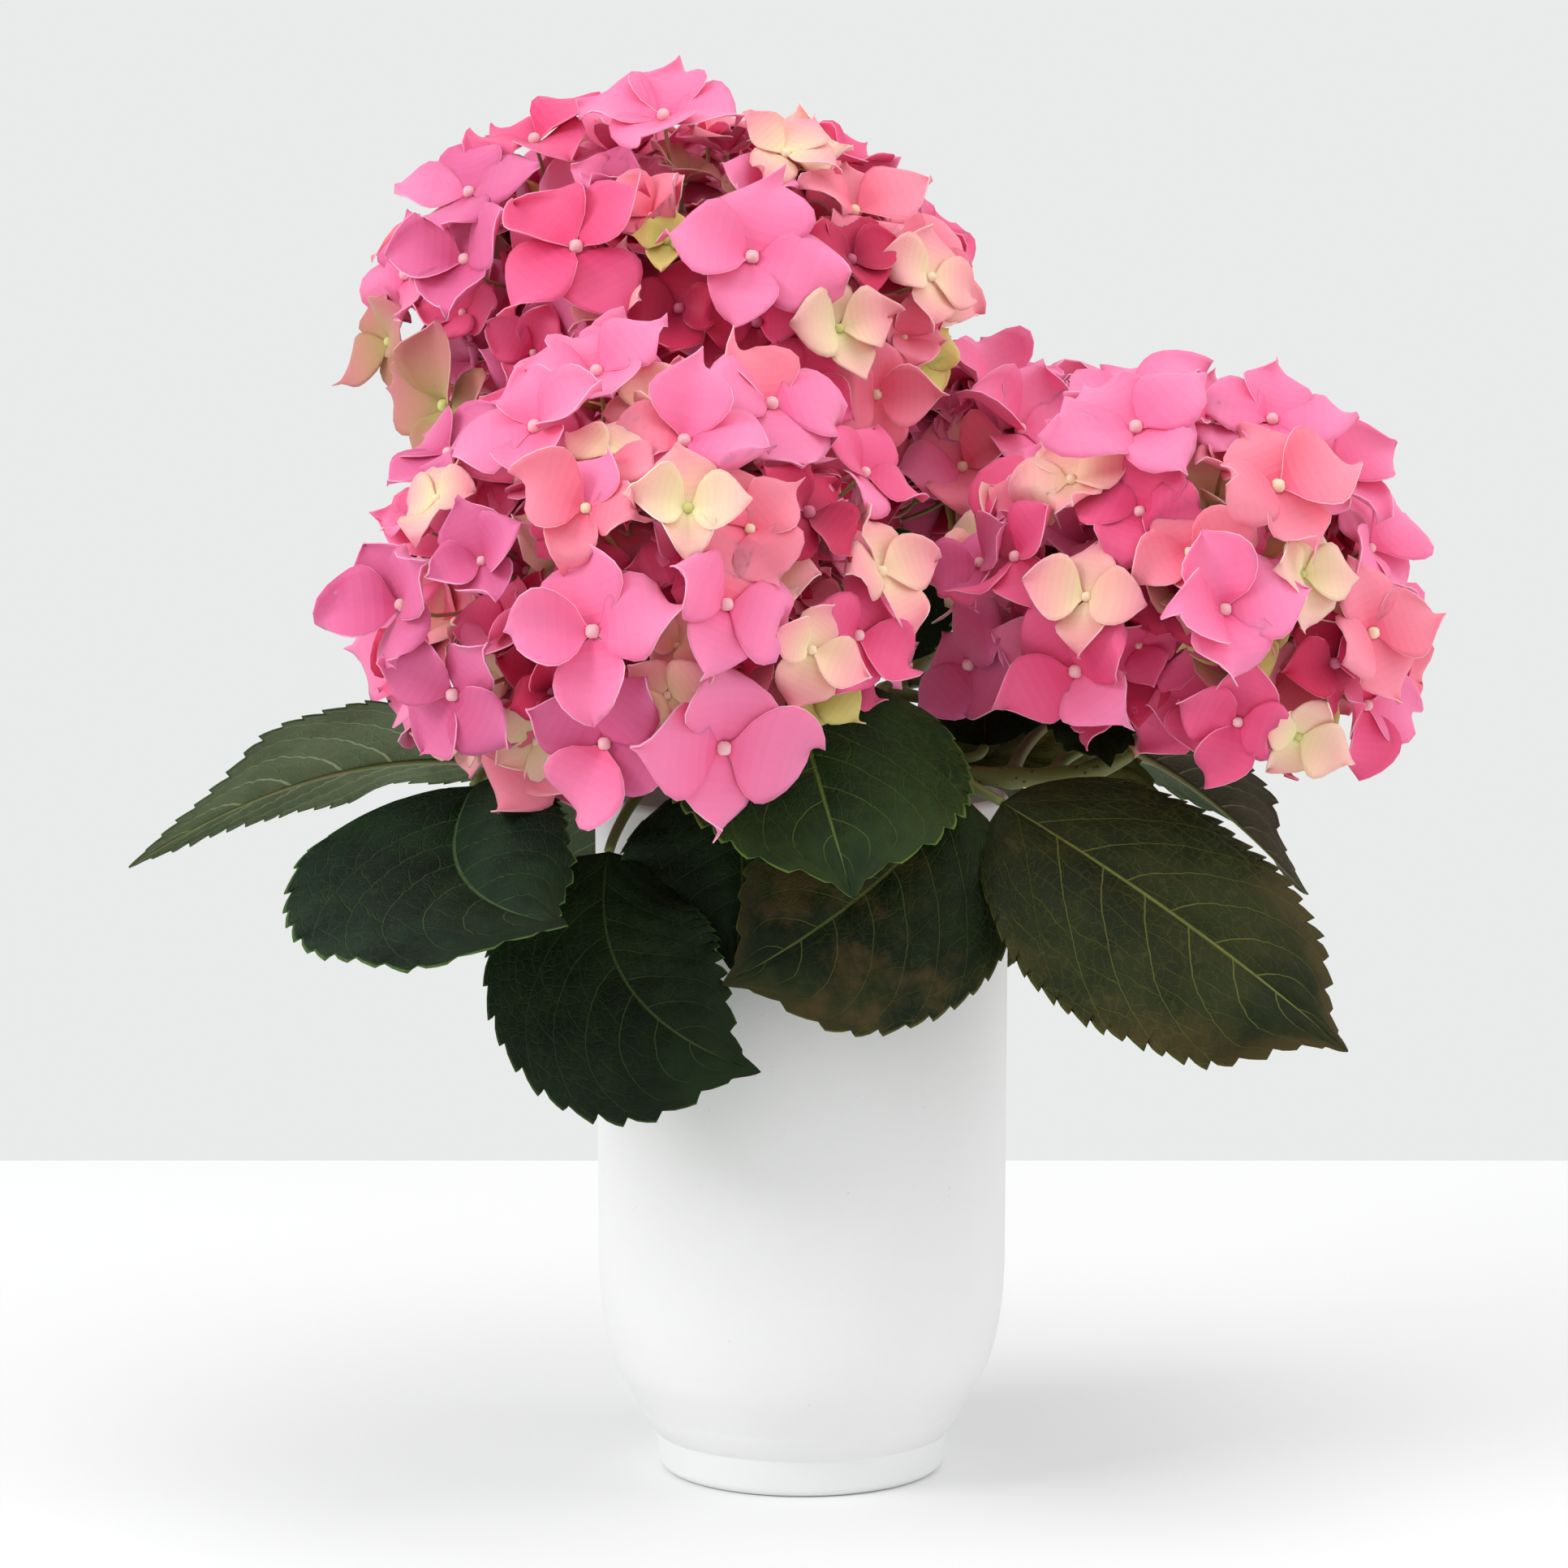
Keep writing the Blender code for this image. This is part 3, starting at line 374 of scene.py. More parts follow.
# the lamina swells between its veins, sinks along the midrib and waves along the margin
PILLOW_MM = 1.25
PILLOW_POWER = 0.6
PILLOW_LEVEL = 0.6
PILLOW_RUNG_SINK = 0.3
PILLOW_WIDTH_GROWTH = 1.5
MIDRIB_WIDTH = 0.07
MIDRIB_SINK_MM = 1.1
EDGE_WAVE_MM = 1.6
EDGE_WAVE_COUNTS = ((1.6, 2.8, 1.0), (3.5, 5.0, 0.5))
EDGE_WAVE_POWER = 2.5
PETIOLE_STATIONS = 22
PETIOLE_SIDES = 12
RIB_SIDES = 8
PETIOLE_RADIUS_MM = 2.3
PETIOLE_TAPER = 0.30
PETIOLE_FOOT_GROWTH = 0.5
PETIOLE_FOOT_SHARE = 0.06
PETIOLE_GROOVE = 0.14
PETIOLE_GROOVE_WIDTH = 0.5
PETIOLE_RISE = 0.25
PETIOLE_ROOTING = 0.8
PETIOLE_LEAVING = 0.35
PETIOLE_ARRIVING = 0.30
RIB_RADIUS_MM = 1.15
RIB_TAPER = 0.82
RIB_STANDING = 0.95

# name: cane, the point of it (1 to 8) that the stalk leaves, the blade's base, middle and tip (mm),
# its half widths left and right of the midrib (mm), the side it turns up, its halves' folds (deg),
# its colouring, and where and how far it draws in if that isn't as the others do
LEAVES = {
    "far_left": dict(cane="top", node=1, base=(-90, -6, 234), mid=(-153, -20, 234), tip=(-217, -34, 204),
                     widths=(38, 27), up=(-0.3, 0.62, 0.75), folds=(6, 24), kind="sage",
                     drawn=(0.55, 1.0, 0.6)),
    "left": dict(cane="front", node=5, base=(-104, -58, 233), mid=(-104, -104, 210), tip=(-70, -152, 201),
                 widths=(42, 54), up=(0.0, -0.40, 0.90), folds=(48, -2), kind="blue"),
    "low_left": dict(cane="front", node=7, base=(-61, -66, 213), mid=(-54, -91, 174), tip=(-13, -104, 149),
                     widths=(32, 44), up=(-0.2, -0.9, 0.4), folds=(12, 4), kind="dark"),
    "front_inner": dict(cane="front", node=1, base=(-24, -64, 240), mid=(-19, -75, 210),
                        tip=(-22, -81, 177), widths=(19, 38), up=(0.0, -0.95, 0.3), folds=(4, 4),
                        kind="dark"),
    "low_front": dict(cane="right", node=2, base=(50, -62, 231), mid=(17, -86, 201), tip=(-25, -96, 175),
                      widths=(46, 38), up=(0.1, -0.9, 0.45), folds=(6, 10), kind="blotched"),
    "front": dict(cane="front", node=2, base=(-6, -58, 275), mid=(3, -93, 245), tip=(15, -128, 206),
                  widths=(54, 46), up=(0.1, -0.65, 0.75), folds=(-8, 6), kind="fresh"),
    "right": dict(cane="right", node=4, base=(63, -60, 228), mid=(117, -86, 195), tip=(168, -102, 155),
                  widths=(41, 50), up=(0.15, -0.75, 0.65), folds=(8, 6), kind="bronze"),
    "right_rolled": dict(cane="right", node=7, base=(108, 4, 240), mid=(137, 4, 222), tip=(166, -8, 192),
                         widths=(24, 24), up=(0.5, 0.35, 0.8), folds=(40, 40), kind="brown",
                         drawn=(0.9, 1.0, 0.2)),
    "right_back": dict(cane="right", node=6, base=(104, 36, 250), mid=(128, 44, 240), tip=(150, 44, 220),
                       widths=(26, 26), up=(0.3, -0.4, 0.85), folds=(10, 10), kind="dark"),
    "right_under": dict(cane="right", node=8, base=(88, -8, 258), mid=(93, -26, 251), tip=(98, -48, 238),
                        widths=(15, 15), up=(0.0, -0.5, 0.9), folds=(10, 10), kind="dark"),
    "right_inner": dict(cane="right", node=3, base=(60, 2, 240), mid=(60, 12, 254), tip=(57, 24, 272),
                        widths=(22, 22), up=(-0.1, -0.9, 0.4), folds=(12, 12), kind="dark"),
    "right_low_back": dict(cane="rear", node=1, base=(42, 16, 233), mid=(86, 26, 232), tip=(128, 34, 212),
                           widths=(22, 9), up=(0.05, -0.75, 0.65), folds=(8, 8), kind="yellowed"),
    "back_left": dict(cane="top", node=2, base=(-62, 52, 236), mid=(-98, 86, 238), tip=(-132, 118, 216),
                      widths=(42, 42), up=(-0.3, 0.3, 0.9), folds=(8, 8), kind="blue"),
    "back": dict(cane="rear", node=2, base=(-4, 76, 234), mid=(-2, 118, 214), tip=(6, 156, 176),
                 widths=(42, 42), up=(0.0, 0.6, 0.8), folds=(8, 8), kind="fresh"),
    "back_right": dict(cane="rear", node=5, base=(80, 68, 242), mid=(116, 98, 234), tip=(150, 126, 206),
                       widths=(40, 40), up=(0.3, 0.3, 0.9), folds=(8, 8), kind="bronze"),
    "low_back_left": dict(cane="top", node=3, base=(-50, 60, 224), mid=(-66, 80, 192), tip=(-68, 88, 148),
                          widths=(36, 36), up=(-0.4, 0.85, 0.35), folds=(8, 8), kind="dark"),
    "low_back_right": dict(cane="rear", node=3, base=(52, 60, 224), mid=(66, 80, 192), tip=(66, 88, 148),
                           widths=(36, 36), up=(0.4, 0.85, 0.35), folds=(8, 8), kind="blotched"),
    "left_upper": dict(cane="top", node=5, base=(-56, 44, 290), mid=(-90, 58, 286), tip=(-120, 72, 264),
                       widths=(34, 34), up=(-0.3, 0.0, 0.95), folds=(10, 10), kind="dark"),
    "back_upper": dict(cane="top", node=6, base=(-24, 78, 294), mid=(-26, 116, 286), tip=(-28, 150, 258),
                       widths=(38, 38), up=(0.0, 0.3, 0.95), folds=(10, 10), kind="fresh"),
    "middle": dict(cane="rear", node=4, base=(22, 34, 268), mid=(26, 22, 290), tip=(22, 8, 314),
                   widths=(26, 26), up=(-0.1, -0.9, 0.4), folds=(10, 10), kind="dark"),
    "right_side": dict(cane="rear", node=6, base=(98, 58, 234), mid=(128, 80, 226), tip=(152, 104, 204),
                       widths=(30, 30), up=(0.3, 0.2, 0.9), folds=(8, 8), kind="blue"),
}

# leaf colours: lamina, its deeper patches, veins, margin, the tint it ages to, how far that has come
# over the tip and margin, and how far in blotches
LEAF_COLOURS = {
    "dark": dict(lamina=(0.0102, 0.0240, 0.0074), deep=(0.0042, 0.0102, 0.0037),
                 vein=(0.055, 0.080, 0.024), margin=(0.040, 0.070, 0.014),
                 aged=(0.030, 0.026, 0.010), tip=0.1, blotch=0.1),
    "blue": dict(lamina=(0.0098, 0.0275, 0.0112), deep=(0.0040, 0.0112, 0.0052),
                 vein=(0.060, 0.100, 0.036), margin=(0.070, 0.130, 0.030),
                 aged=(0.030, 0.032, 0.012), tip=0.1, blotch=0.0),
    "fresh": dict(lamina=(0.0180, 0.0420, 0.0100), deep=(0.0085, 0.0210, 0.0058),
                  vein=(0.105, 0.150, 0.030), margin=(0.120, 0.190, 0.034),
                  aged=(0.050, 0.065, 0.014), tip=0.2, blotch=0.0),
    "bronze": dict(lamina=(0.0220, 0.0290, 0.0075), deep=(0.0100, 0.0150, 0.0044),
                   vein=(0.150, 0.165, 0.038), margin=(0.070, 0.070, 0.014),
                   aged=(0.062, 0.042, 0.013), tip=0.85, blotch=0.2),
    "blotched": dict(lamina=(0.0165, 0.0300, 0.0072), deep=(0.0070, 0.0120, 0.0045),
                     vein=(0.090, 0.110, 0.028), margin=(0.090, 0.095, 0.022),
                     aged=(0.066, 0.042, 0.016), tip=0.4, blotch=0.8),
    "brown": dict(lamina=(0.115, 0.082, 0.056), deep=(0.045, 0.032, 0.023), vein=(0.200, 0.165, 0.110),
                  margin=(0.090, 0.070, 0.040), aged=(0.038, 0.034, 0.020), tip=0.2, blotch=0.4),
    "yellowed": dict(lamina=(0.150, 0.165, 0.040), deep=(0.060, 0.075, 0.018),
                     vein=(0.250, 0.255, 0.080), margin=(0.190, 0.170, 0.050),
                     aged=(0.100, 0.062, 0.022), tip=0.4, blotch=0.3),
    "sage": dict(lamina=(0.135, 0.170, 0.085), deep=(0.075, 0.100, 0.045), vein=(0.340, 0.390, 0.230),
                 margin=(0.050, 0.085, 0.028), aged=(0.045, 0.070, 0.026), tip=0.5, blotch=0.2),
}
UNDERSIDE_LAMINA = (0.085, 0.115, 0.058)
UNDERSIDE_VEIN = (0.210, 0.245, 0.120)
UNDERSIDE_SHARE = 0.7
PALE_KIND_SHARE = 0.2
# the network in the finish: widths as shares of a half blade or of a gap between two veins, cells
# along and across, and how much of the vein colour each kind of line takes
VEIN_WANDER = 0.022
SIDE_VEIN_WIDTHS = (0.034, 0.014)
UNDERSIDE_BREADTH = 1.9
RIB_EDGES = (0.006, 0.020)
RUNG_EDGES = (0.015, 0.045)
MESH_CELLS = (40.0, 30.0)
MESH_EDGES = (0.02, 0.10)
VEIN_STRENGTHS = dict(mesh=0.09, rung=0.21, side=0.62, rib=0.95)
UNDERSIDE_SIDE_STRENGTH = 0.85
MARGIN_EDGES = (0.978, 0.996)


# ---------------------------------------------------------------- arrays and meshes

def unit(vectors):
    """Vectors scaled to length one along the last axis; a zero vector stays zero."""
    lengths = np.linalg.norm(vectors, axis=-1, keepdims=True)
    return vectors / np.maximum(lengths, 1e-12)


def smoothstep(low, high, values):
    """0 below low, 1 above high, and 3x^2 - 2x^3 in between."""
    share = np.clip((values - low) / (high - low), 0.0, 1.0)
    return share * share * (3.0 - 2.0 * share)


def bow(start, bend, end, share):
    """Points of the curve from start to end that a bend pulls out, at shares of its run."""
    rest = 1.0 - share
    return start * rest ** 2 + bend * 2 * rest * share + end * share ** 2


def round_angles(sides):
    """Angles of evenly spaced sides round a circle, from 0."""
    return np.linspace(0.0, 2.0 * math.pi, sides, endpoint=False)


def grid_quads(rows, columns, wrap=False):
    """Quads of a grid, first along the rows and then across, so that they face rows x columns."""
    across = columns if wrap else columns - 1
    row, column = np.meshgrid(np.arange(rows - 1), np.arange(across), indexing="ij")
    beside = (column + 1) % columns
    corners = (row * columns + column, (row + 1) * columns + column,
               (row + 1) * columns + beside, row * columns + beside)
    return np.stack(corners, axis=-1).reshape(-1, 4)


def grid_edge(rows, columns):
    """The grid's outline as one loop of vertex numbers."""
    numbers = np.arange(rows * columns).reshape(rows, columns)
    return np.concatenate((numbers[0, :], numbers[1:, -1], numbers[-1, -2::-1], numbers[-2:0:-1, 0]))


class Skin:
    """Gathers the vertices, faces, finishes and pattern places of many surfaces into one mesh."""

    def __init__(self):
        self.points = []
        self.places = []
        self.faces = []
        self.finishes = []
        self.count = 0

    def add(self, points, faces, finish, places=None):
        """faces is a list of arrays of vertex numbers; finish a number, or an array for each one."""
        points = np.reshape(points, (-1, 3))
        places = np.zeros((len(points), 2)) if places is None else np.reshape(places, (-1, 2))
        finishes = finish if isinstance(finish, list) else [finish] * len(faces)
        for each, shown in zip(faces, finishes):
            self.faces.append(each + self.count)
            self.finishes.append(np.broadcast_to(shown, len(each)))
        self.points.append(points)
        self.places.append(places)
        self.count += len(points)

    def object(self, name, materials):
        points = np.concatenate(self.points)
        corners = np.concatenate([each.ravel() for each in self.faces])
        sizes = np.concatenate([np.full(len(each), each.shape[1]) for each in self.faces])
        mesh = bpy.data.meshes.new(name)
        mesh.vertices.add(len(points))
        mesh.vertices.foreach_set("co", points.astype(np.float32).ravel())
        mesh.loops.add(len(corners))
        mesh.loops.foreach_set("vertex_index", corners.astype(np.int32))
        mesh.polygons.add(len(sizes))
        starts = np.concatenate(([0], np.cumsum(sizes)[:-1]))
        mesh.polygons.foreach_set("loop_start", starts.astype(np.int32))
        finishes = np.concatenate(self.finishes)
        mesh.polygons.foreach_set("material_index", finishes.astype(np.int32))
        layer = mesh.uv_layers.new(name="UVMap")
        layer.data.foreach_set("uv", np.concatenate(self.places)[corners].astype(np.float32).ravel())
        for material in materials:
            mesh.materials.append(material)
        mesh.update(calc_edges=True)
        mesh.validate()
        mesh.shade_smooth()
        made = bpy.data.objects.new(name, mesh)
        bpy.context.scene.collection.objects.link(made)
        return made


def settle(piece, slot, *nodes):
    """The piece rides on the plant and stands for some of its nodes, which are hidden; slot is not used."""
    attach(piece, "root")
    if nodes:
        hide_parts(*nodes)


def thin_sheets(skin, surface, thickness, finish_above, finish_below, finish_rim, places):
    """Closes a stack of grids (count, rows, columns, 3) into thin sheets: each point is moved half
    the thickness along its normal for the upper side and as far back for the lower one, and a band
    of faces round the outline joins the two."""
    count, rows, columns = surface.shape[:3]
    normals = unit(np.cross(np.gradient(surface, axis=1), np.gradient(surface, axis=2)))
    normals[:, -1] = normals[:, -2]
    both = np.stack((surface + normals * thickness / 2, surface - normals * thickness / 2), axis=1)
    per_sheet = 2 * rows * columns
    first = np.arange(count)[:, None, None] * per_sheet
    quads = grid_quads(rows, columns)
    edge = grid_edge(rows, columns)
    following = np.roll(edge, -1)
    under = rows * columns
    band = np.stack((edge, following, following + under, edge + under), axis=-1)
    faces = [(first + quads).reshape(-1, 4), (first + quads[:, ::-1] + under).reshape(-1, 4),
             (first + band).reshape(-1, 4)]
    per_face = len(quads)
    finishes = [np.broadcast_to(finish_above, (count, per_face)).ravel(),
                np.broadcast_to(finish_below, (count, per_face)).ravel(),
                np.broadcast_to(np.reshape(finish_rim, (-1, 1)), (count, len(band))).ravel()]
    place = np.broadcast_to(places, (count, 2, rows, columns, 2))
    skin.add(both, faces, finishes, place)


def tubes(skin, paths, radii, sides, finish):
    """Round skins carried along a stack of paths (count, stations, 3): each ring stands square to
    its path, at the radius given for the path, station and, if there is a third axis, side."""
    count, stations = paths.shape[:2]
    along = unit(np.gradient(paths, axis=1))
    chord = np.abs(paths[:, -1] - paths[:, 0])
    reference = np.eye(3)[np.argmin(chord, axis=1)][:, None, :]
    side = unit(np.cross(along, reference))
    up = np.cross(side, along)
    angle = round_angles(sides)[None, None, :, None]
    radii = radii if radii.ndim == 3 else radii[:, :, None]
    ring = np.cos(angle) * side[:, :, None, :] + np.sin(angle) * up[:, :, None, :]
    points = paths[:, :, None, :] + radii[..., None] * ring
    first = np.arange(count)[:, None, None] * stations * sides
    quads = (first + grid_quads(stations, sides, wrap=True)).reshape(-1, 4)
    start = (first[:, 0] + np.arange(sides)).reshape(-1, sides)
    end = (first[:, 0] + (stations - 1) * sides + np.arange(sides)[::-1]).reshape(-1, sides)
    run = np.broadcast_to(np.linspace(0.0, 1.0, stations)[None, :, None], (count, stations, sides))
    round_it = np.broadcast_to(np.linspace(0.0, 1.0, sides), (count, stations, sides))
    skin.add(points, [quads, start, end], finish, np.stack((run, round_it), axis=-1))


def balls(skin, centres, axes, radii, finish, stations=7, sides=10, lobes=0, lobe_depth=0.0):
    """Small round bodies: circles whose radius follows a half circle along the axis, pinched
    in at each lobe's groove."""
    level = np.cos(np.linspace(math.pi * 0.97, math.pi * 0.03, stations))
    paths = centres[:, None, :] + axes[:, None, :] * (level[None, :, None] * radii[:, None, None])
    circle = np.sqrt(1.0 - level ** 2)
    angle = round_angles(sides)
    groove = 1.0 - lobe_depth * np.abs(np.cos(lobes * angle / 2.0)) ** 6
    tubes(skin, paths, radii[:, None, None] * circle[None, :, None] * groove[None, None, :], sides, finish)


def waves(points, scale, seed, count=24):
    """Smooth noise in -1 to 1: the mean of sine waves of random direction, length and phase."""
    dice = np.random.default_rng(seed)
    directions = unit(dice.normal(size=(count, 3))) * dice.uniform(0.5, 1.6, (count, 1)) / scale
    phases = dice.uniform(0.0, 2.0 * math.pi, count)
    return np.sin(points @ directions.T * 2.0 * math.pi + phases).sum(-1) / math.sqrt(count)


# ---------------------------------------------------------------- finishes

class Recipe:
    """One Principled material written as a chain of nodes; each method returns an output socket."""

    def __init__(self, name, roughness=0.5, specular=0.5):
        self.material = bpy.data.materials.new(name)
        self.material.use_nodes = True
        self.tree = self.material.node_tree
        self.shader = self.tree.nodes["Principled BSDF"]
        self.set("Roughness", roughness)
        self.set("Specular IOR Level", specular)

    def set(self, socket, value):
        """A plain number or colour on the shader's own socket, or a link from another node."""
        self.put(self.shader.inputs[socket], value)

    def put(self, socket, value):
        if isinstance(value, bpy.types.NodeSocket):
            self.tree.links.new(value, socket)
        elif isinstance(value, tuple) and len(value) == 3 and socket.type == "RGBA":
            socket.default_value = (*value, 1.0)
        else:
            socket.default_value = value

    def node(self, kind, inputs=(), **settings):
        """A node with its settings, and its inputs given by pairs of a name or number and a value."""
        made = self.tree.nodes.new(kind)
        for key, value in settings.items():
            setattr(made, key, value)
        for label, value in inputs:
            self.put(made.inputs[label], value)
        return made

    def math(self, operation, *values):
        return self.node("ShaderNodeMath", enumerate(values), operation=operation).outputs[0]

    def add(self, *values):
        return self.math("ADD", *values)

    def times(self, *values):
        return self.math("MULTIPLY", *values)

    def less(self, *values):
        return self.math("SUBTRACT", *values)

    def fade(self, value, low, high, start=0.0, end=1.0):
        """start below low, end above high, smooth in between."""
        labels = ("Value", "From Min", "From Max", "To Min", "To Max")
        return self.node("ShaderNodeMapRange", zip(labels, (value, low, high, start, end)),
                         interpolation_type="SMOOTHSTEP").outputs["Result"]

    def mix(self, share, first, second):
        return self.node("ShaderNodeMix", zip((0, 6, 7), (share, first, second)),
                         data_type="RGBA").outputs[2]

    def place(self):
        """Object coordinates, in metres."""
        return self.node("ShaderNodeTexCoord").outputs["Object"]

    def pattern_place(self):
        """The two pattern coordinates of the piece's own UV map."""
        place = self.node("ShaderNodeUVMap", uv_map="UVMap").outputs[0]
        split = self.node("ShaderNodeSeparateXYZ", [(0, place)])
        return split.outputs[0], split.outputs[1]

    def join(self, x, y):
        return self.node("ShaderNodeCombineXYZ", enumerate((x, y))).outputs[0]

    def noise(self, place, scale, detail=3.0, roughness=0.5):
        labels = ("Vector", "Scale", "Detail", "Roughness")
        made = self.node("ShaderNodeTexNoise", zip(labels, (place, scale, detail, roughness)))
        return made.outputs["Fac"]

    def cells(self, place, scale, feature="F1"):
        return self.node("ShaderNodeTexVoronoi", zip(("Vector", "Scale"), (place, scale)),
                         feature=feature).outputs["Distance"]

    def bump(self, height, strength, distance):
        labels = ("Height", "Strength", "Distance")
        made = self.node("ShaderNodeBump", zip(labels, (height, strength, distance)))
        self.set("Normal", made.outputs[0])

    def see_through(self, weight, radius, scale):
        """Light that enters the surface and comes out a little way off."""
        self.set("Subsurface Weight", weight)
        self.set("Subsurface Radius", radius)
        self.set("Subsurface Scale", scale)


def petal_finish(kind, zone, colour):
    """Soft translucent petal in one plain colour, with fine veins that fan out from its claw."""
    recipe = Recipe(f"petal_{kind}_{zone}", roughness=0.55, specular=0.25)
    recipe.set("Base Color", colour)
    recipe.see_through(0.35, (1.0, 0.40, 0.50), 0.0012)
    recipe.set("Sheen Weight", 0.10)
    recipe.set("Sheen Roughness", 0.5)
    along, across = recipe.pattern_place()
    fan = recipe.math("DIVIDE", recipe.less(across, 0.5), recipe.add(along, 0.35))
    veins = recipe.noise(recipe.join(recipe.times(fan, 34.0), recipe.times(along, 3.0)), 1.0, 2.0)
    grain = recipe.noise(recipe.place(), 900.0, 3.0)
    recipe.bump(recipe.add(veins, recipe.times(grain, 0.5)), 0.22, 0.0005)
    return recipe.material


def petal_finishes():
    """For each colour, zones that go from its heart to its tip in even steps, and its rim."""
    found = []
    for kind, (heart, tip, rim) in PETAL_COLOURS.items():
        for zone in range(PETAL_ZONES):
            share = (zone / (PETAL_ZONES - 1)) ** ZONE_FADE_POWER
            colour = tuple(a + (b - a) * share for a, b in zip(heart, tip))
            found.append(petal_finish(kind, zone + 1, colour))
        found.append(petal_finish(kind, "rim", rim))
    return found


def eye_finish(kind, colour):
    """The unopened true flower at the heart of a floret."""
    recipe = Recipe(f"eye_{kind}", roughness=0.5, specular=0.3)
    recipe.set("Base Color", colour)
    recipe.see_through(0.3, (1.0, 0.5, 0.5), 0.001)
    return recipe.material


def stalk_finish(name, young, aged):
    """Green stalk that reddens in patches."""
    recipe = Recipe(name, roughness=0.5, specular=0.35)
    patches = recipe.fade(recipe.noise(recipe.place(), 60.0, 3.0), 0.42, 0.66)
    recipe.set("Base Color", recipe.mix(patches, young, aged))
    recipe.bump(recipe.noise(recipe.place(), 900.0, 2.0), 0.25, 0.0003)
    return recipe.material


def cane_finish():
    """Olive-green cane with raised brown specks and pale streaks along it."""
    recipe = Recipe("speckled_cane", roughness=0.48, specular=0.35)
    place = recipe.place()
    green = recipe.mix(recipe.noise(place, 45.0, 3.0), (0.085, 0.105, 0.022), (0.190, 0.200, 0.050))
    along, around = recipe.pattern_place()
    streaks = recipe.noise(recipe.join(recipe.times(along, 6.0), recipe.times(around, 14.0)), 1.0, 2.0)
    green = recipe.mix(recipe.fade(streaks, 0.55, 0.8), green, (0.240, 0.230, 0.080))
    specks = recipe.times(recipe.fade(recipe.cells(place, 420.0), 0.16, 0.30, 1.0, 0.0),
                          recipe.fade(recipe.noise(place, 170.0, 2.0), 0.46, 0.6))
    recipe.set("Base Color", recipe.mix(specks, green, (0.055, 0.028, 0.012)))
    recipe.bump(recipe.add(specks, recipe.times(streaks, 0.3)), 0.4, 0.0004)
    return recipe.material


def bark_finish():
    """Grey-brown flaking bark, darker in its cracks."""
    recipe = Recipe("crown_bark", roughness=0.85, specular=0.2)
    place = recipe.place()
    cracks = recipe.fade(recipe.cells(place, 190.0, "DISTANCE_TO_EDGE"), 0.02, 0.22)
    brown = recipe.mix(recipe.noise(place, 110.0, 5.0, 0.6), (0.10, 0.062, 0.034), (0.27, 0.20, 0.13))
    recipe.set("Base Color", recipe.mix(cracks, (0.035, 0.022, 0.014), brown))
    recipe.bump(recipe.add(cracks, recipe.noise(place, 500.0, 4.0)), 0.7, 0.0012)
    return recipe.material


def soil_finish(name, dark, light):
    """Damp crumbly mix: dark ground mottled by lighter fibres."""
    recipe = Recipe(name, roughness=0.92, specular=0.2)
    place = recipe.place()
    mottle = recipe.fade(recipe.noise(place, 260.0, 5.0, 0.65), 0.40, 0.68)
    recipe.set("Base Color", recipe.mix(mottle, dark, light))
    recipe.bump(recipe.noise(place, 650.0, 5.0, 0.7), 0.8, 0.0015)
    return recipe.material


def pot_finish():
    """Matte white bisque: faint mottling, sparse grey specks, hair scratches and a fine tooth."""
    recipe = Recipe("white_bisque", roughness=0.62, specular=0.35)
    place = recipe.place()
    white = recipe.mix(recipe.noise(place, 14.0, 4.0), (0.80, 0.80, 0.80), (0.86, 0.86, 0.86))
    specks = recipe.times(recipe.fade(recipe.cells(place, 260.0), 0.05, 0.11, 1.0, 0.0),
                          recipe.fade(recipe.noise(place, 90.0, 2.0), 0.56, 0.66))
    white = recipe.mix(recipe.times(specks, 0.35), white, (0.50, 0.49, 0.47))
    across, up = recipe.pattern_place()
    hairs = recipe.noise(recipe.join(recipe.times(across, 34.0), recipe.times(up, 700.0)), 1.0, 1.0)
    hairs = recipe.times(recipe.fade(hairs, 0.74, 0.80),
                         recipe.fade(recipe.noise(place, 30.0, 2.0), 0.5, 0.7))
    recipe.set("Base Color", recipe.mix(recipe.times(hairs, 0.3), white, (0.68, 0.68, 0.68)))
    recipe.set("Roughness", recipe.fade(recipe.noise(place, 120.0, 3.0), 0.3, 0.7, 0.55, 0.70))
    tooth = recipe.add(recipe.noise(place, 1500.0, 3.0, 0.6),
                       recipe.times(recipe.noise(place, 60.0, 2.0), 1.5))
    recipe.bump(tooth, 0.16, 0.0004)
    return recipe.material


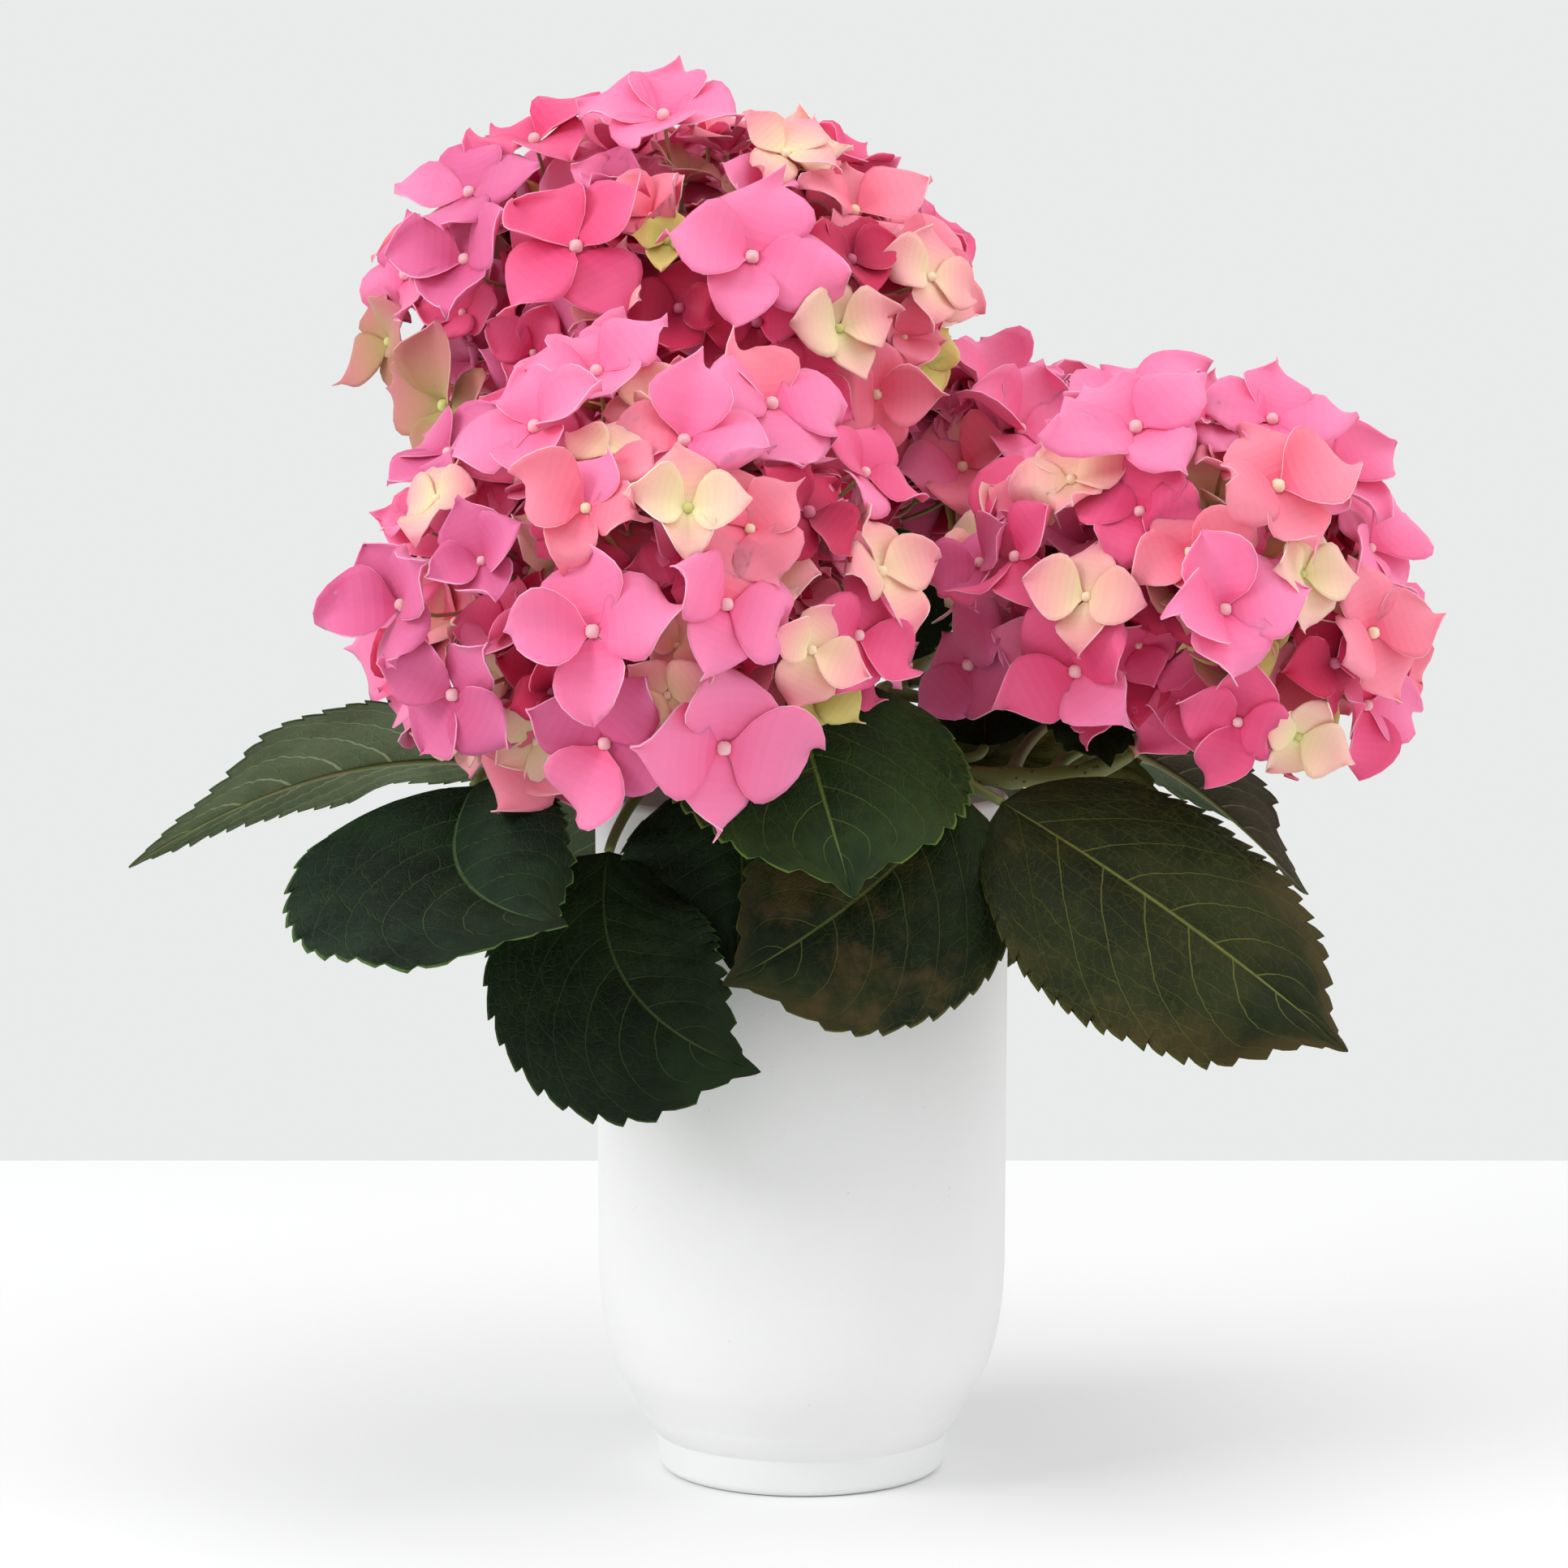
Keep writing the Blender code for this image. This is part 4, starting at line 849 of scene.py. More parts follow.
def vein_masks(recipe, along, half, breadth):
    """The leaf's network, by how far out from the midrib, across, a place lies: the midrib at 0;
    side veins where along - lead across - arch across^2 is a whole number of spacings, a little
    later on one half; rungs between them, shifted from one gap to the next; and small cells.
    breadth widens the side veins. Rungs and cells fade out towards the tip."""
    signed = recipe.less(recipe.times(half, 2.0), 1.0)
    across = recipe.math("ABSOLUTE", signed)
    bends = recipe.add(recipe.times(across, VEIN_LEAD),
                       recipe.times(recipe.times(across, across), VEIN_ARCH))
    late = recipe.times(recipe.math("SIGN", signed), VEIN_OFFSET)
    wander = recipe.noise(recipe.join(recipe.times(along, 9.0), recipe.times(half, 7.0)), 1.0, 2.0)
    wander = recipe.less(wander, 0.5)
    phase = recipe.add(recipe.less(recipe.less(along, bends), late), recipe.times(wander, VEIN_WANDER))
    gaps = recipe.times(phase, float(VEINS))
    step = recipe.math("FRACT", gaps)
    nearest = recipe.math("MINIMUM", step, recipe.less(1.0, step))
    width = recipe.fade(across, 0.0, 1.0, *(width * breadth for width in SIDE_VEIN_WIDTHS))
    side = recipe.fade(nearest, recipe.times(width, 0.4), width, 1.0, 0.0)
    side = recipe.times(side, recipe.fade(phase, -0.01, 0.01))
    rib = recipe.fade(across, *RIB_EDGES, 1.0, 0.0)
    shifted = recipe.times(recipe.math("FLOOR", gaps), RUNG_OFFSET)
    ladder = recipe.add(recipe.add(recipe.times(across, float(RUNGS)), shifted), wander)
    rung = recipe.math("ABSOLUTE", recipe.less(recipe.math("FRACT", ladder), 0.5))
    rung = recipe.times(recipe.fade(rung, *RUNG_EDGES, 1.0, 0.0), recipe.fade(along, 0.7, 0.9, 1.0, 0.0))
    cells = recipe.join(recipe.times(along, MESH_CELLS[0]), recipe.times(half, MESH_CELLS[1]))
    mesh = recipe.cells(cells, 1.0, "DISTANCE_TO_EDGE")
    mesh = recipe.times(recipe.fade(mesh, *MESH_EDGES, 1.0, 0.0), recipe.fade(along, 0.6, 0.9, 1.0, 0.0))
    return across, rib, side, rung, mesh


def leaf_finish(kind, underside):
    """Veined leaf: deep and light patches, ageing from the tip and margin inwards, blotches, a thin
    margin, and the pale network of veins, sunken above and raised below."""
    name = f"leaf_{kind}_" + ("under" if underside else "upper")
    recipe = Recipe(name, roughness=0.62 if underside else 0.48, specular=0.14 if underside else 0.10)
    colours = dict(LEAF_COLOURS[kind])
    strengths = dict(VEIN_STRENGTHS)
    if underside:
        strengths["side"] = UNDERSIDE_SIDE_STRENGTH
        paling = PALE_KIND_SHARE if kind in ("brown", "sage") else UNDERSIDE_SHARE
        for key, pale in dict(lamina=UNDERSIDE_LAMINA, deep=UNDERSIDE_LAMINA, vein=UNDERSIDE_VEIN).items():
            colours[key] = tuple(a + (b - a) * paling for a, b in zip(colours[key], pale))
    along, half = recipe.pattern_place()
    breadth = UNDERSIDE_BREADTH if underside else 1.0
    across, rib, side, rung, mesh = vein_masks(recipe, along, half, breadth)
    place = recipe.place()
    cloud = recipe.noise(place, 28.0, 4.0, 0.6)
    colour = recipe.mix(recipe.fade(cloud, 0.36, 0.64), colours["deep"], colours["lamina"])
    ageing = recipe.add(recipe.times(recipe.fade(along, 0.45, 1.0), 0.6),
                        recipe.times(recipe.fade(across, 0.35, 1.0), 0.5))
    ageing = recipe.add(ageing, recipe.times(recipe.less(cloud, 0.5), 1.6))
    ageing = recipe.times(recipe.fade(ageing, 0.35, 0.95), colours["tip"])
    blotches = recipe.fade(recipe.noise(place, 40.0, 4.0, 0.6), 0.48, 0.66)
    blotches = recipe.times(blotches, colours["blotch"])
    colour = recipe.mix(recipe.math("MAXIMUM", ageing, blotches), colour, colours["aged"])
    for lines, line in ((mesh, "mesh"), (rung, "rung"), (side, "side")):
        colour = recipe.mix(recipe.times(lines, strengths[line]), colour, colours["vein"])
    colour = recipe.mix(recipe.fade(across, *MARGIN_EDGES), colour, colours["margin"])
    recipe.set("Base Color", recipe.mix(recipe.times(rib, strengths["rib"]), colour, colours["vein"]))
    recipe.see_through(0.08, (0.4, 1.0, 0.2), 0.0008)
    relief = recipe.add(side, recipe.add(recipe.times(rung, 0.6), recipe.times(mesh, 0.3)))
    relief = relief if underside else recipe.times(relief, -1.0)
    grain = recipe.noise(place, 1100.0, 2.0)
    recipe.bump(recipe.add(relief, recipe.times(grain, 0.3)), 0.75, 0.0008)
    return recipe.material


# ---------------------------------------------------------------- the rules of growth

def in_metres(point_mm):
    """A point given in millimetres as an array in metres."""
    return np.array(point_mm, float) * MM


def bezier(controls, shares):
    """Points and unit directions of a cubic curve at an array of shares of its run."""
    p0, p1, p2, p3 = controls
    share = np.asarray(shares, float)[..., None]
    rest = 1.0 - share
    points = p0 * rest ** 3 + p1 * 3 * rest ** 2 * share + p2 * 3 * rest * share ** 2 + p3 * share ** 3
    along = (p1 - p0) * 3 * rest ** 2 + (p2 - p1) * 6 * rest * share + (p3 - p2) * 3 * share ** 2
    return points, unit(along)


def cane_radius(share):
    """Radius in metres at a share of a cane's run."""
    return (CANE_FOOT_RADIUS_MM + (CANE_TIP_RADIUS_MM - CANE_FOOT_RADIUS_MM) * share) * MM


def cane_curve(head):
    """The four control points of the cane that carries a head, in metres."""
    plan = HEADS[head]
    side_x = math.copysign(CANE_FOOT_OFFSET_MM, plan["bend_1"][0])
    side_y = math.copysign(CANE_FOOT_OFFSET_MM, plan["bend_1"][1])
    foot = in_metres((side_x, side_y, CANE_FOOT_MM))
    return foot, in_metres(plan["bend_1"]), in_metres(plan["bend_2"]), in_metres(plan["neck"])


def lattice(plan, count, spread_deg):
    """Directions spread evenly over a cap round the way a head grows, on a golden-angle spiral."""
    to_axis = Vector((0.0, 0.0, 1.0)).rotation_difference(Vector(plan["grows"]))
    spread = math.radians(spread_deg)
    found = []
    for k in range(count):
        rise = 1.0 - (k + 0.5) / count * (1.0 - math.cos(spread))
        level = math.sqrt(1.0 - rise * rise)
        turn = k * GOLDEN_ANGLE
        found.append(to_axis @ Vector((level * math.cos(turn), level * math.sin(turn), rise)))
    return found


def shaken(dice):
    """A vector with each part drawn evenly from -1 to 1."""
    return Vector((dice.uniform(-1, 1), dice.uniform(-1, 1), dice.uniform(-1, 1)))


def bearing(azimuth, height):
    """Direction at an azimuth from the front (towards +X) and a height above level, in degrees."""
    azimuth = math.radians(azimuth)
    height = math.radians(height)
    return Vector((math.cos(height) * math.sin(azimuth), -math.cos(height) * math.cos(azimuth),
                   math.sin(height)))


def drawn_kind(dice, shares, direction, reach):
    """A colour drawn by its shares: brighter on top as painted light from above, lilac to the left
    partly as painted shade, cream low, and crimson inside partly as painted shade.
    """
    weights = {kind: shares.get(kind, 0) for kind in PETAL_KINDS}
    weights["bright"] += TOP_PAINTED_LIGHT * max(direction.z, 0.0)
    weights["lilac"] += LEFT_LILAC_AND_SHADE * max(-direction.x, 0.0)
    weights["salmon"] += RIGHT_SALMON * max(direction.x, 0.0)
    weights["cream"] += LOW_CREAM * max(-direction.z, 0.0)
    weights["crimson"] += DEEP_CRIMSON_AND_SHADE * (reach < DEEP_FROM) * (1.0 - max(direction.z, 0.0))
    return dice.choices(PETAL_KINDS, [weights[kind] for kind in PETAL_KINDS])[0]


def under_leading(head, direction, radius, room):
    """Whether a floret would reach into a leading one of its head, by their radii times room."""
    size = sum(HEADS[head]["half"]) / 3.0
    return any(direction.angle(bearing(a, h)) < room * (radius + other) / size
               for a, h, _, other, _, _ in LEADING[head])


def outer_florets(head):
    """Place from the centre (in half sizes), tilt, radius, turn, colour and cup of each floret of
    the shell, as two lists: the leading ones, and those of the lattice that find room between
    them. One that stands close to a leading one is set back."""
    plan = HEADS[head]
    dice = random.Random(plan["seed"])
    leading = []
    for azimuth, height, reach, radius, turn, kind in LEADING[head]:
        tilt = shaken(dice) * LEADING_TILT
        leading.append((bearing(azimuth, height) * reach, tilt, radius, math.radians(turn), kind,
                        dice.uniform(*LEADING_CUP_DEG)))
    shell = []
    for k, direction in enumerate(lattice(plan, plan["florets"], plan["spread"])):
        dice = random.Random(plan["seed"] * 1000 + k)
        direction = (direction + shaken(dice) * FLORET_JITTER).normalized()
        radius = FLORET_RADIUS_MM * dice.uniform(*FLORET_SIZES)
        reach = LAYER_DEPTHS[k % len(LAYER_DEPTHS)] + dice.uniform(-LAYER_JITTER, LAYER_JITTER)
        turn = dice.uniform(0.0, math.pi / 2)
        tilt = shaken(dice) * FLORET_TILT
        kind = drawn_kind(dice, OUTER_SHARES, direction, reach)
        cup = dice.uniform(*OUTER_CUP_DEG) + TOP_CUP_DEG * max(direction.z, 0.0)
        if direction.z > 0.0:
            # 4 z^2 (1 - z^2) is the square of the sine of twice the angle off the vertical
            reach *= 1.0 - plan["slope"] * 4.0 * direction.z ** 2 * (1.0 - direction.z ** 2)
        if under_leading(head, direction, radius, BESIDE_ROOM):
            reach *= BESIDE_SHARE
        place = direction * reach
        place.x += plan["lean"] * max(place.z, 0.0)
        if not under_leading(head, direction, radius, LEADING_ROOM):
            shell.append((place, tilt, radius, turn, kind, cup))
    return leading, shell


def filling_florets(head, layer):
    """Smaller florets that fill the head behind and between those of its shell, kept beneath the
    leading ones."""
    plan, rule = HEADS[head], FILLING[layer]
    count = round(plan["florets"] * rule["count"])
    florets = []
    for k, direction in enumerate(lattice(plan, count, plan["spread"] + FILLING_SPREAD_DEG)):
        dice = random.Random(plan["seed"] * rule["seed"] + k)
        direction = direction.normalized()
        reach = dice.uniform(*rule["reach"])
        radius = FLORET_RADIUS_MM * dice.uniform(*rule["sizes"])
        tilt = shaken(dice) * FLORET_TILT * 2
        kind = drawn_kind(dice, rule["shares"], direction, reach)
        if under_leading(head, direction, radius, BENEATH_ROOM):
            reach = min(reach, BENEATH_REACH)
        turn = dice.uniform(0.0, math.pi / 2)
        florets.append((direction * reach, tilt, radius, turn, kind, dice.uniform(*rule["cups"])))
    return florets


def parting_planes(head):
    """A point and a normal for each other head near by; the head keeps to the back of them."""
    plan = HEADS[head]
    planes = []
    for other, facing in HEADS.items():
        if other != head:
            between = Vector(facing["centre"]) - Vector(plan["centre"])
            own = sum(plan["half"])
            share = own / (own + sum(facing["half"]))
            planes.append(((Vector(plan["centre"]) + between * share) * MM, between.normalized()))
    return planes


def floret_star(centre, axis, radius, turn):
    """The plain star of a floret, eight edge points and one above and below: what it may touch."""
    across = axis.cross(Vector(FLORET_ACROSS)).normalized()
    beside = axis.cross(across)
    points = []
    for step in range(PETALS * 2):
        reach = 1.0 if step % 2 == 0 else NOTCH_REACH
        angle = turn + step * math.pi / PETALS
        edge = across * math.cos(angle) + beside * math.sin(angle)
        points.append(centre + (edge * reach + axis * FLORET_CUP * reach ** 2) * radius)
    half = axis * (FLORET_THICKNESS_MM * MM / 2)
    return points + [centre + half, centre - half]


def star_tree(points):
    """A search tree over the star's sixteen triangles."""
    last = len(points) - 2
    faces = [(k, (k + 1) % last, last) for k in range(last)]
    faces += [((k + 1) % last, k, last + 1) for k in range(last)]
    return BVHTree.FromPolygons(points, faces)


# a floret in its place: its heart, the way it faces, its radius (m), turn, colour and cup (radians)
Floret = namedtuple("Floret", "heart axis radius turn kind cup")


def gathered(florets, part):
    """One part of each floret, as an array."""
    return np.array([getattr(each, part) for each in florets])


def placed_florets(head, florets, limbs):
    """The florets in their places. One that crosses a parting plane is pushed back, and one pushed
    too far or touching a cane or leaf is left out. The deeper its cup, the further its heart
    sinks behind the place that its petals keep."""
    plan = HEADS[head]
    planes = parting_planes(head)
    lift = Vector(plan["grows"]) * FLORET_LIFT
    kept = []
    for place, tilt, radius, turn, kind, cup in florets:
        outward = Vector(a / b for a, b in zip(place, plan["half"])).normalized()
        towards = Vector((0.0, -FRONT_TURN * (1.0 - abs(outward.y)), 0.0))
        axis = (outward + lift + tilt + towards).normalized()
        centre = (Vector(plan["centre"]) + Vector(a * b for a, b in zip(place, plan["half"]))) * MM
        star = floret_star(centre, axis, radius * MM, turn)
        shift = Vector((0.0, 0.0, 0.0))
        for point, normal in planes:
            over = max((corner + shift - point).dot(normal) for corner in star) + HEAD_CLEARANCE_MM * MM
            if over > 0.0:
                shift -= normal * over
        moved = [corner + shift for corner in star]
        if shift.length < DEEPEST_PUSH_MM * MM and not star_tree(moved).overlap(limbs):
            cup = math.radians(cup)
            heart = centre + shift - axis * (radius * MM * math.sin(cup) * CUP_SINKING)
            kept.append(Floret(heart, axis, radius * MM, turn, kind, cup))
    return kept


def pressed(points, owners, head, leading):
    """Points moved in under the leading florets of their head. Such a floret holds down all that
    isn't its own or a leading one's further out: at a distance out from its axis a point stays
    below the cone of its petals, out tan(share of its cup), less a little room, and that limit
    rises past its rim."""
    plan = HEADS[head]
    middle, half = in_metres(plan["centre"]), in_metres(plan["half"])
    hearts, axes = gathered(leading, "heart"), gathered(leading, "axis")
    ranks = np.argsort(np.argsort(-np.linalg.norm((hearts - middle) / half, axis=-1)))
    rank = np.append(ranks, np.inf)[np.minimum(owners, len(leading))]
    for k, floret in enumerate(leading):
        away = points - hearts[k]
        height = away @ axes[k]
        out = np.linalg.norm(away - height[..., None] * axes[k], axis=-1)
        limit = out * math.tan(PRESS_CONE * floret.cup) - PRESS_ROOM_MM * MM
        limit = limit + PRESS_RISE_MM * MM * smoothstep(*PRESS_ENDS, out / floret.radius)
        over = np.maximum(height - limit, 0.0) * (rank > ranks[k])
        points = points - over[..., None] * axes[k]
    return points


def limb_tree():
    """One search tree over the canes and the leaves of the frame."""
    points = []
    faces = []
    for name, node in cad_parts.items():
        if name.startswith(("cane_", "leaf_")):
            first = len(points)
            points += [vertex.co.copy() for vertex in node.data.vertices]
            faces += [[first + number for number in face.vertices] for face in node.data.polygons]
    return BVHTree.FromPolygons(points, faces)


# ---------------------------------------------------------------- flower heads

def petal_share(along, pointed):
    """Half width at a share of a petal's length, as a share of its widest: a narrow claw, broad
    round shoulders, and a tip drawn out to a point the more the power pointed is over 1."""
    claw = PETAL_CLAW + (1.0 - PETAL_CLAW) * smoothstep(*PETAL_CLAW_ENDS, along)
    rising = np.sin(math.pi / 2 * np.minimum(along / PETAL_WIDEST_AT, 1.0)) * claw
    beyond = np.clip((along - PETAL_WIDEST_AT) / (1.0 - PETAL_WIDEST_AT), 0.0, 1.0)
    falling = np.cos(math.pi / 2 * beyond) ** pointed
    return np.where(along < PETAL_WIDEST_AT, rising, falling) + PETAL_TIP_WIDTH


def petal_surfaces(florets, dice):
    """Four petals to each floret, as grids (count, rows, columns, 3). With s the share of a petal's
    length, its middle leaves the heart at its cup's angle and turns over towards the tip:
    rise(s) = cup + (end - cup) s + tip s^6, and the middle's points are the sums of cos(rise) and
    sin(rise) over s. A point at a share a of the half width stands off that line, square to it, by
    width (dish a^2 + keel |a| (1 - s) + roll a^6 s), by a wave along its own margin that grows with
    s a^2, and by a twist a s. The whole bends sideways by s^2."""
    count = len(florets) * PETALS
    centre, axis, radius, turn, cup = (np.repeat(gathered(florets, part), PETALS, axis=0)
                                       for part in ("heart", "axis", "radius", "turn", "cup"))
    order = np.tile(np.arange(PETALS), len(florets))

    def drawn(measure):
        return dice.uniform(*PETAL_RANGES[measure], count)[:, None, None]

    angle = (turn + order * (2.0 * math.pi / PETALS))[:, None] + drawn("angle")[:, 0]
    across = unit(np.cross(axis, np.array(FLORET_ACROSS)))
    beside = np.cross(axis, across)
    pointing = across * np.cos(angle) + beside * np.sin(angle)
    sideways = beside * np.cos(angle) - across * np.sin(angle)
    s = PETAL_ROWS[None, :, None]
    a = PETAL_COLUMNS[None, None, :]
    upper = (order % 2)[:, None, None]
    start = cup[:, None, None] + (upper * 2 - 1) * PETAL_PAIR_CUP + drawn("cup")
    end = start * 0.5 + drawn("end")
    rise = start + (end - start) * s + drawn("tip") * s ** 6
    length = radius[:, None, None] * PETAL_GROWTH * drawn("length") * (1.0 + PETAL_CUP_GROWTH * start ** 2)
    step = np.diff(PETAL_ROWS, prepend=0.0)[None, :, None]
    x = length * np.cumsum(np.cos(rise) * step, axis=1)
    z = length * np.cumsum(np.sin(rise) * step, axis=1)
    width = petal_share(s, drawn("point")) * length * drawn("breadth")
    tall = width * (a ** 2 * drawn("dish") + np.abs(a) * drawn("keel") * (1.0 - s))
    tall = tall + width * a ** 6 * drawn("roll") * s
    for side in (-1.0, 1.0):
        wave = np.sin(2.0 * math.pi * (drawn("wave_count") * s + drawn("wave_start")))
        tall = tall + length * a ** 2 * (a * side > 0.0) * s * drawn("wave") * wave
    tall = tall + length * a * s * drawn("twist")
    x = x - tall * np.sin(rise)
    z = z + tall * np.cos(rise) + upper * np.minimum(s * PETAL_PAIR_SLOPE, 1.0) * PETAL_PAIR_STEP_MM * MM
    y = width * a + length * drawn("bend") * s ** 2
    return (centre[:, None, None, :] + x[..., None] * pointing[:, None, None, :]
            + y[..., None] * sideways[:, None, None, :] + z[..., None] * axis[:, None, None, :])


def petal_zones(count, dice):
    """Which zone each face of a petal's grid lies in, from the heart's to the tip's, with the
    change a little sooner or later from petal to petal."""
    middle = (PETAL_ROWS[1:] + PETAL_ROWS[:-1]) / 2
    share = middle[None, :] * PETAL_ZONES * ZONE_STRETCH + dice.uniform(*ZONE_SHIFT, count)[:, None]
    zones = np.clip(share, 0, PETAL_ZONES - 1).astype(int)
    return np.repeat(zones, len(PETAL_COLUMNS) - 1, axis=1)


def build_petals(head, florets, leading, deep, materials):
    """The petals of a head, each face in its floret's colour and its own zone: those that show in
    one piece, and on a coarser grid those of the florets numbered in deep in another."""
    dice = np.random.default_rng(HEADS[head]["seed"])
    surface = petal_surfaces(florets, dice)
    owners = np.repeat(np.arange(len(florets)), PETALS)[:, None, None]
    surface = pressed(surface, owners, head, leading)
    per_kind = PETAL_ZONES + 1
    kinds = np.repeat([PETAL_KINDS.index(each.kind) for each in florets], PETALS)
    odd = np.array([PETAL_KINDS.index(ODD_KIND[kind]) for kind in PETAL_KINDS])[kinds]
    first = np.where(dice.random(len(kinds)) < ODD_PETAL_CHANCE, odd, kinds)[:, None] * per_kind
    shown = first + petal_zones(len(first), dice)
    shown = shown.reshape(-1, len(PETAL_ROWS) - 1, len(PETAL_COLUMNS) - 1)
    along, across = np.meshgrid(PETAL_ROWS, PETAL_COLUMNS / 2 + 0.5, indexing="ij")
    places = np.stack((along, across), axis=-1)
    hidden = np.repeat(np.isin(np.arange(len(florets)), deep), PETALS)
    every = (list(range(len(PETAL_ROWS))), list(range(len(PETAL_COLUMNS))))
    for name, chosen, (rows, columns) in (("petals_", ~hidden, every),
                                          ("petals_deep_", hidden, (DEEP_ROWS, DEEP_COLUMNS))):
        skin = Skin()
        zones = shown[chosen][:, rows[:-1]][:, :, columns[:-1]].reshape(chosen.sum(), -1)
        thin_sheets(skin, surface[chosen][:, rows][:, :, columns], PETAL_THICKNESS_MM * MM,
                    zones, zones, first[chosen] + PETAL_ZONES, places[rows][:, columns])
        settle(skin.object(name + head, materials), "petal", "bloom_" + head)


def build_eyes(head, florets, materials):
    """The round bud at the heart of each floret, its four lobes closed."""
    skin = Skin()
    for number, eye in enumerate(EYE_COLOURS):
        chosen = [each for each in florets if EYE_OF_KIND[each.kind] == eye]
        if chosen:
            axes = gathered(chosen, "axis")
            shares = gathered(chosen, "radius") / (FLORET_RADIUS_MM * MM)
            growth = DUSKY_EYE_GROWTH if eye == "dusky" else 1.0
            sizes = EYE_RADIUS_MM * MM * np.clip(shares, *EYE_SIZES) * growth
            centres = gathered(chosen, "heart") + axes * sizes[:, None] * EYE_STANDING
            balls(skin, centres, axes, sizes, number, sides=16, lobes=EYE_LOBES, lobe_depth=EYE_GROOVE)
    settle(skin.object("eyes_" + head, materials), "petal", "bloom_" + head)


def build_stalks(head, florets, material):
    """The head's branching stalks: the neck runs on to a hub, rays part from it towards a few
    spread directions, and each floret's stalk leaves the nearest ray and bends up to its back."""
    plan = HEADS[head]
    neck, along = bezier(cane_curve(head), 1.0)
    middle, half = in_metres(plan["centre"]), in_metres(plan["half"])
    hub = neck + (middle - neck) * HUB_SHARE
    rays = np.array([list(each) for each in lattice(plan, RAYS, plan["spread"] * RAY_SPREAD)])
    ends = middle + rays * half * RAY_REACH
    share = np.linspace(0.0, 1.0, STALK_STATIONS)[None, :, None]
    skin = Skin()
    start = neck + along * GAP_MM * MM
    main = bow(start, start + along * NECK_LEAD_MM * MM, hub, share)
    tubes(skin, main, np.full((1, STALK_STATIONS), CANE_TIP_RADIUS_MM * MM), STALK_SIDES["main"], 0)
    bends = hub + (ends - hub) * 0.5 + np.array(plan["grows"]) * RAY_BOW_MM * MM
    taper = np.linspace(RAY_RADIUS_MM * RAY_FOOT_GROWTH, RAY_RADIUS_MM, STALK_STATIONS) * MM
    tubes(skin, bow(hub, bends[:, None], ends[:, None], share),
          np.broadcast_to(taper, (RAYS, STALK_STATIONS)), STALK_SIDES["ray"], 0)
    centres, axes = gathered(florets, "heart"), gathered(florets, "axis")
    chosen = np.argmin(np.linalg.norm(centres[:, None] - ends[None], axis=-1), axis=1)
    tips = centres - axes * STALK_SINKING_MM * MM
    bends = tips - axes * (np.linalg.norm(tips - ends[chosen], axis=-1) * STALK_BOW)[:, None]
    taper = np.linspace(*STALK_TAPER, STALK_STATIONS) * STALK_RADIUS_MM * MM
    tubes(skin, bow(ends[chosen][:, None], bends[:, None], tips[:, None], share),
          np.broadcast_to(taper, (len(florets), STALK_STATIONS)), STALK_SIDES["floret"], 0)
    settle(skin.object("stalks_" + head, [material]), "cane", "bloom_" + head)


def build_heads():
    limbs = limb_tree()
    petals = petal_finishes()
    eyes = [eye_finish(kind, colour) for kind, colour in EYE_COLOURS.items()]
    stalk = stalk_finish("flower_stalk", (0.30, 0.33, 0.10), (0.48, 0.22, 0.14))
    for head in HEADS:
        layers = (*outer_florets(head), *(filling_florets(head, layer) for layer in FILLING))
        leading, shell, inner, young = (placed_florets(head, layer, limbs) for layer in layers)
        others = shell + inner + young
        hearts = pressed(gathered(others, "heart"), len(leading), head, leading)
        florets = leading + [each._replace(heart=heart) for heart, each in zip(hearts, others)]
        deep = len(leading) + len(shell) + np.arange(len(inner))
        build_petals(head, florets, leading, deep, petals)
        build_eyes(head, florets, eyes)
        build_stalks(head, florets, stalk)


# ---------------------------------------------------------------- leaves

def blade_share(along):
    """Half width at a share of the blade's length, as a share of its widest: broad, then drawn out."""
    near = (1.0 - (1.0 - np.minimum(along, BLADE_WIDEST_AT) / BLADE_WIDEST_AT) ** 2) ** BLADE_BASE_POWER
    beyond = np.clip((along - BLADE_WIDEST_AT) / (1.0 - BLADE_WIDEST_AT), 0.0, 1.0)
    far = np.cos(math.pi / 2 * beyond ** BLADE_TIP_STRETCH) ** BLADE_TIP_POWER
    return np.where(along < BLADE_WIDEST_AT, near, far)


def midrib(plan, along):
    """Points and unit directions on a blade's midrib, a curve through its base, middle and tip."""
    base, middle, tip = (in_metres(plan[key]) for key in ("base", "mid", "tip"))
    pull = middle * 2.0 - (base + tip) * 0.5
    share = np.asarray(along, float)[..., None]
    rest = 1.0 - share
    return bow(base, pull, tip, share), unit((pull - base) * 2 * rest + (tip - pull) * 2 * share)


def blade_frame(plan, along):
    """Unit directions across a blade and up from it, square to the way its midrib runs."""
    sideways = unit(np.cross(along, np.array(plan["up"])))
    return sideways, unit(np.cross(sideways, along))


def blade_rows(plan):
    """Stations along a blade: five to a tooth, so that each tooth's point falls on one."""
    length = math.dist(plan["base"], plan["mid"]) + math.dist(plan["mid"], plan["tip"])
    teeth = max(round(length / TOOTH_SPACING_MM), FEWEST_TEETH)
    stations = (np.arange(teeth)[:, None] + TOOTH_STATIONS[None, :]).ravel() / teeth
    return np.append(stations, BLADE_END), teeth


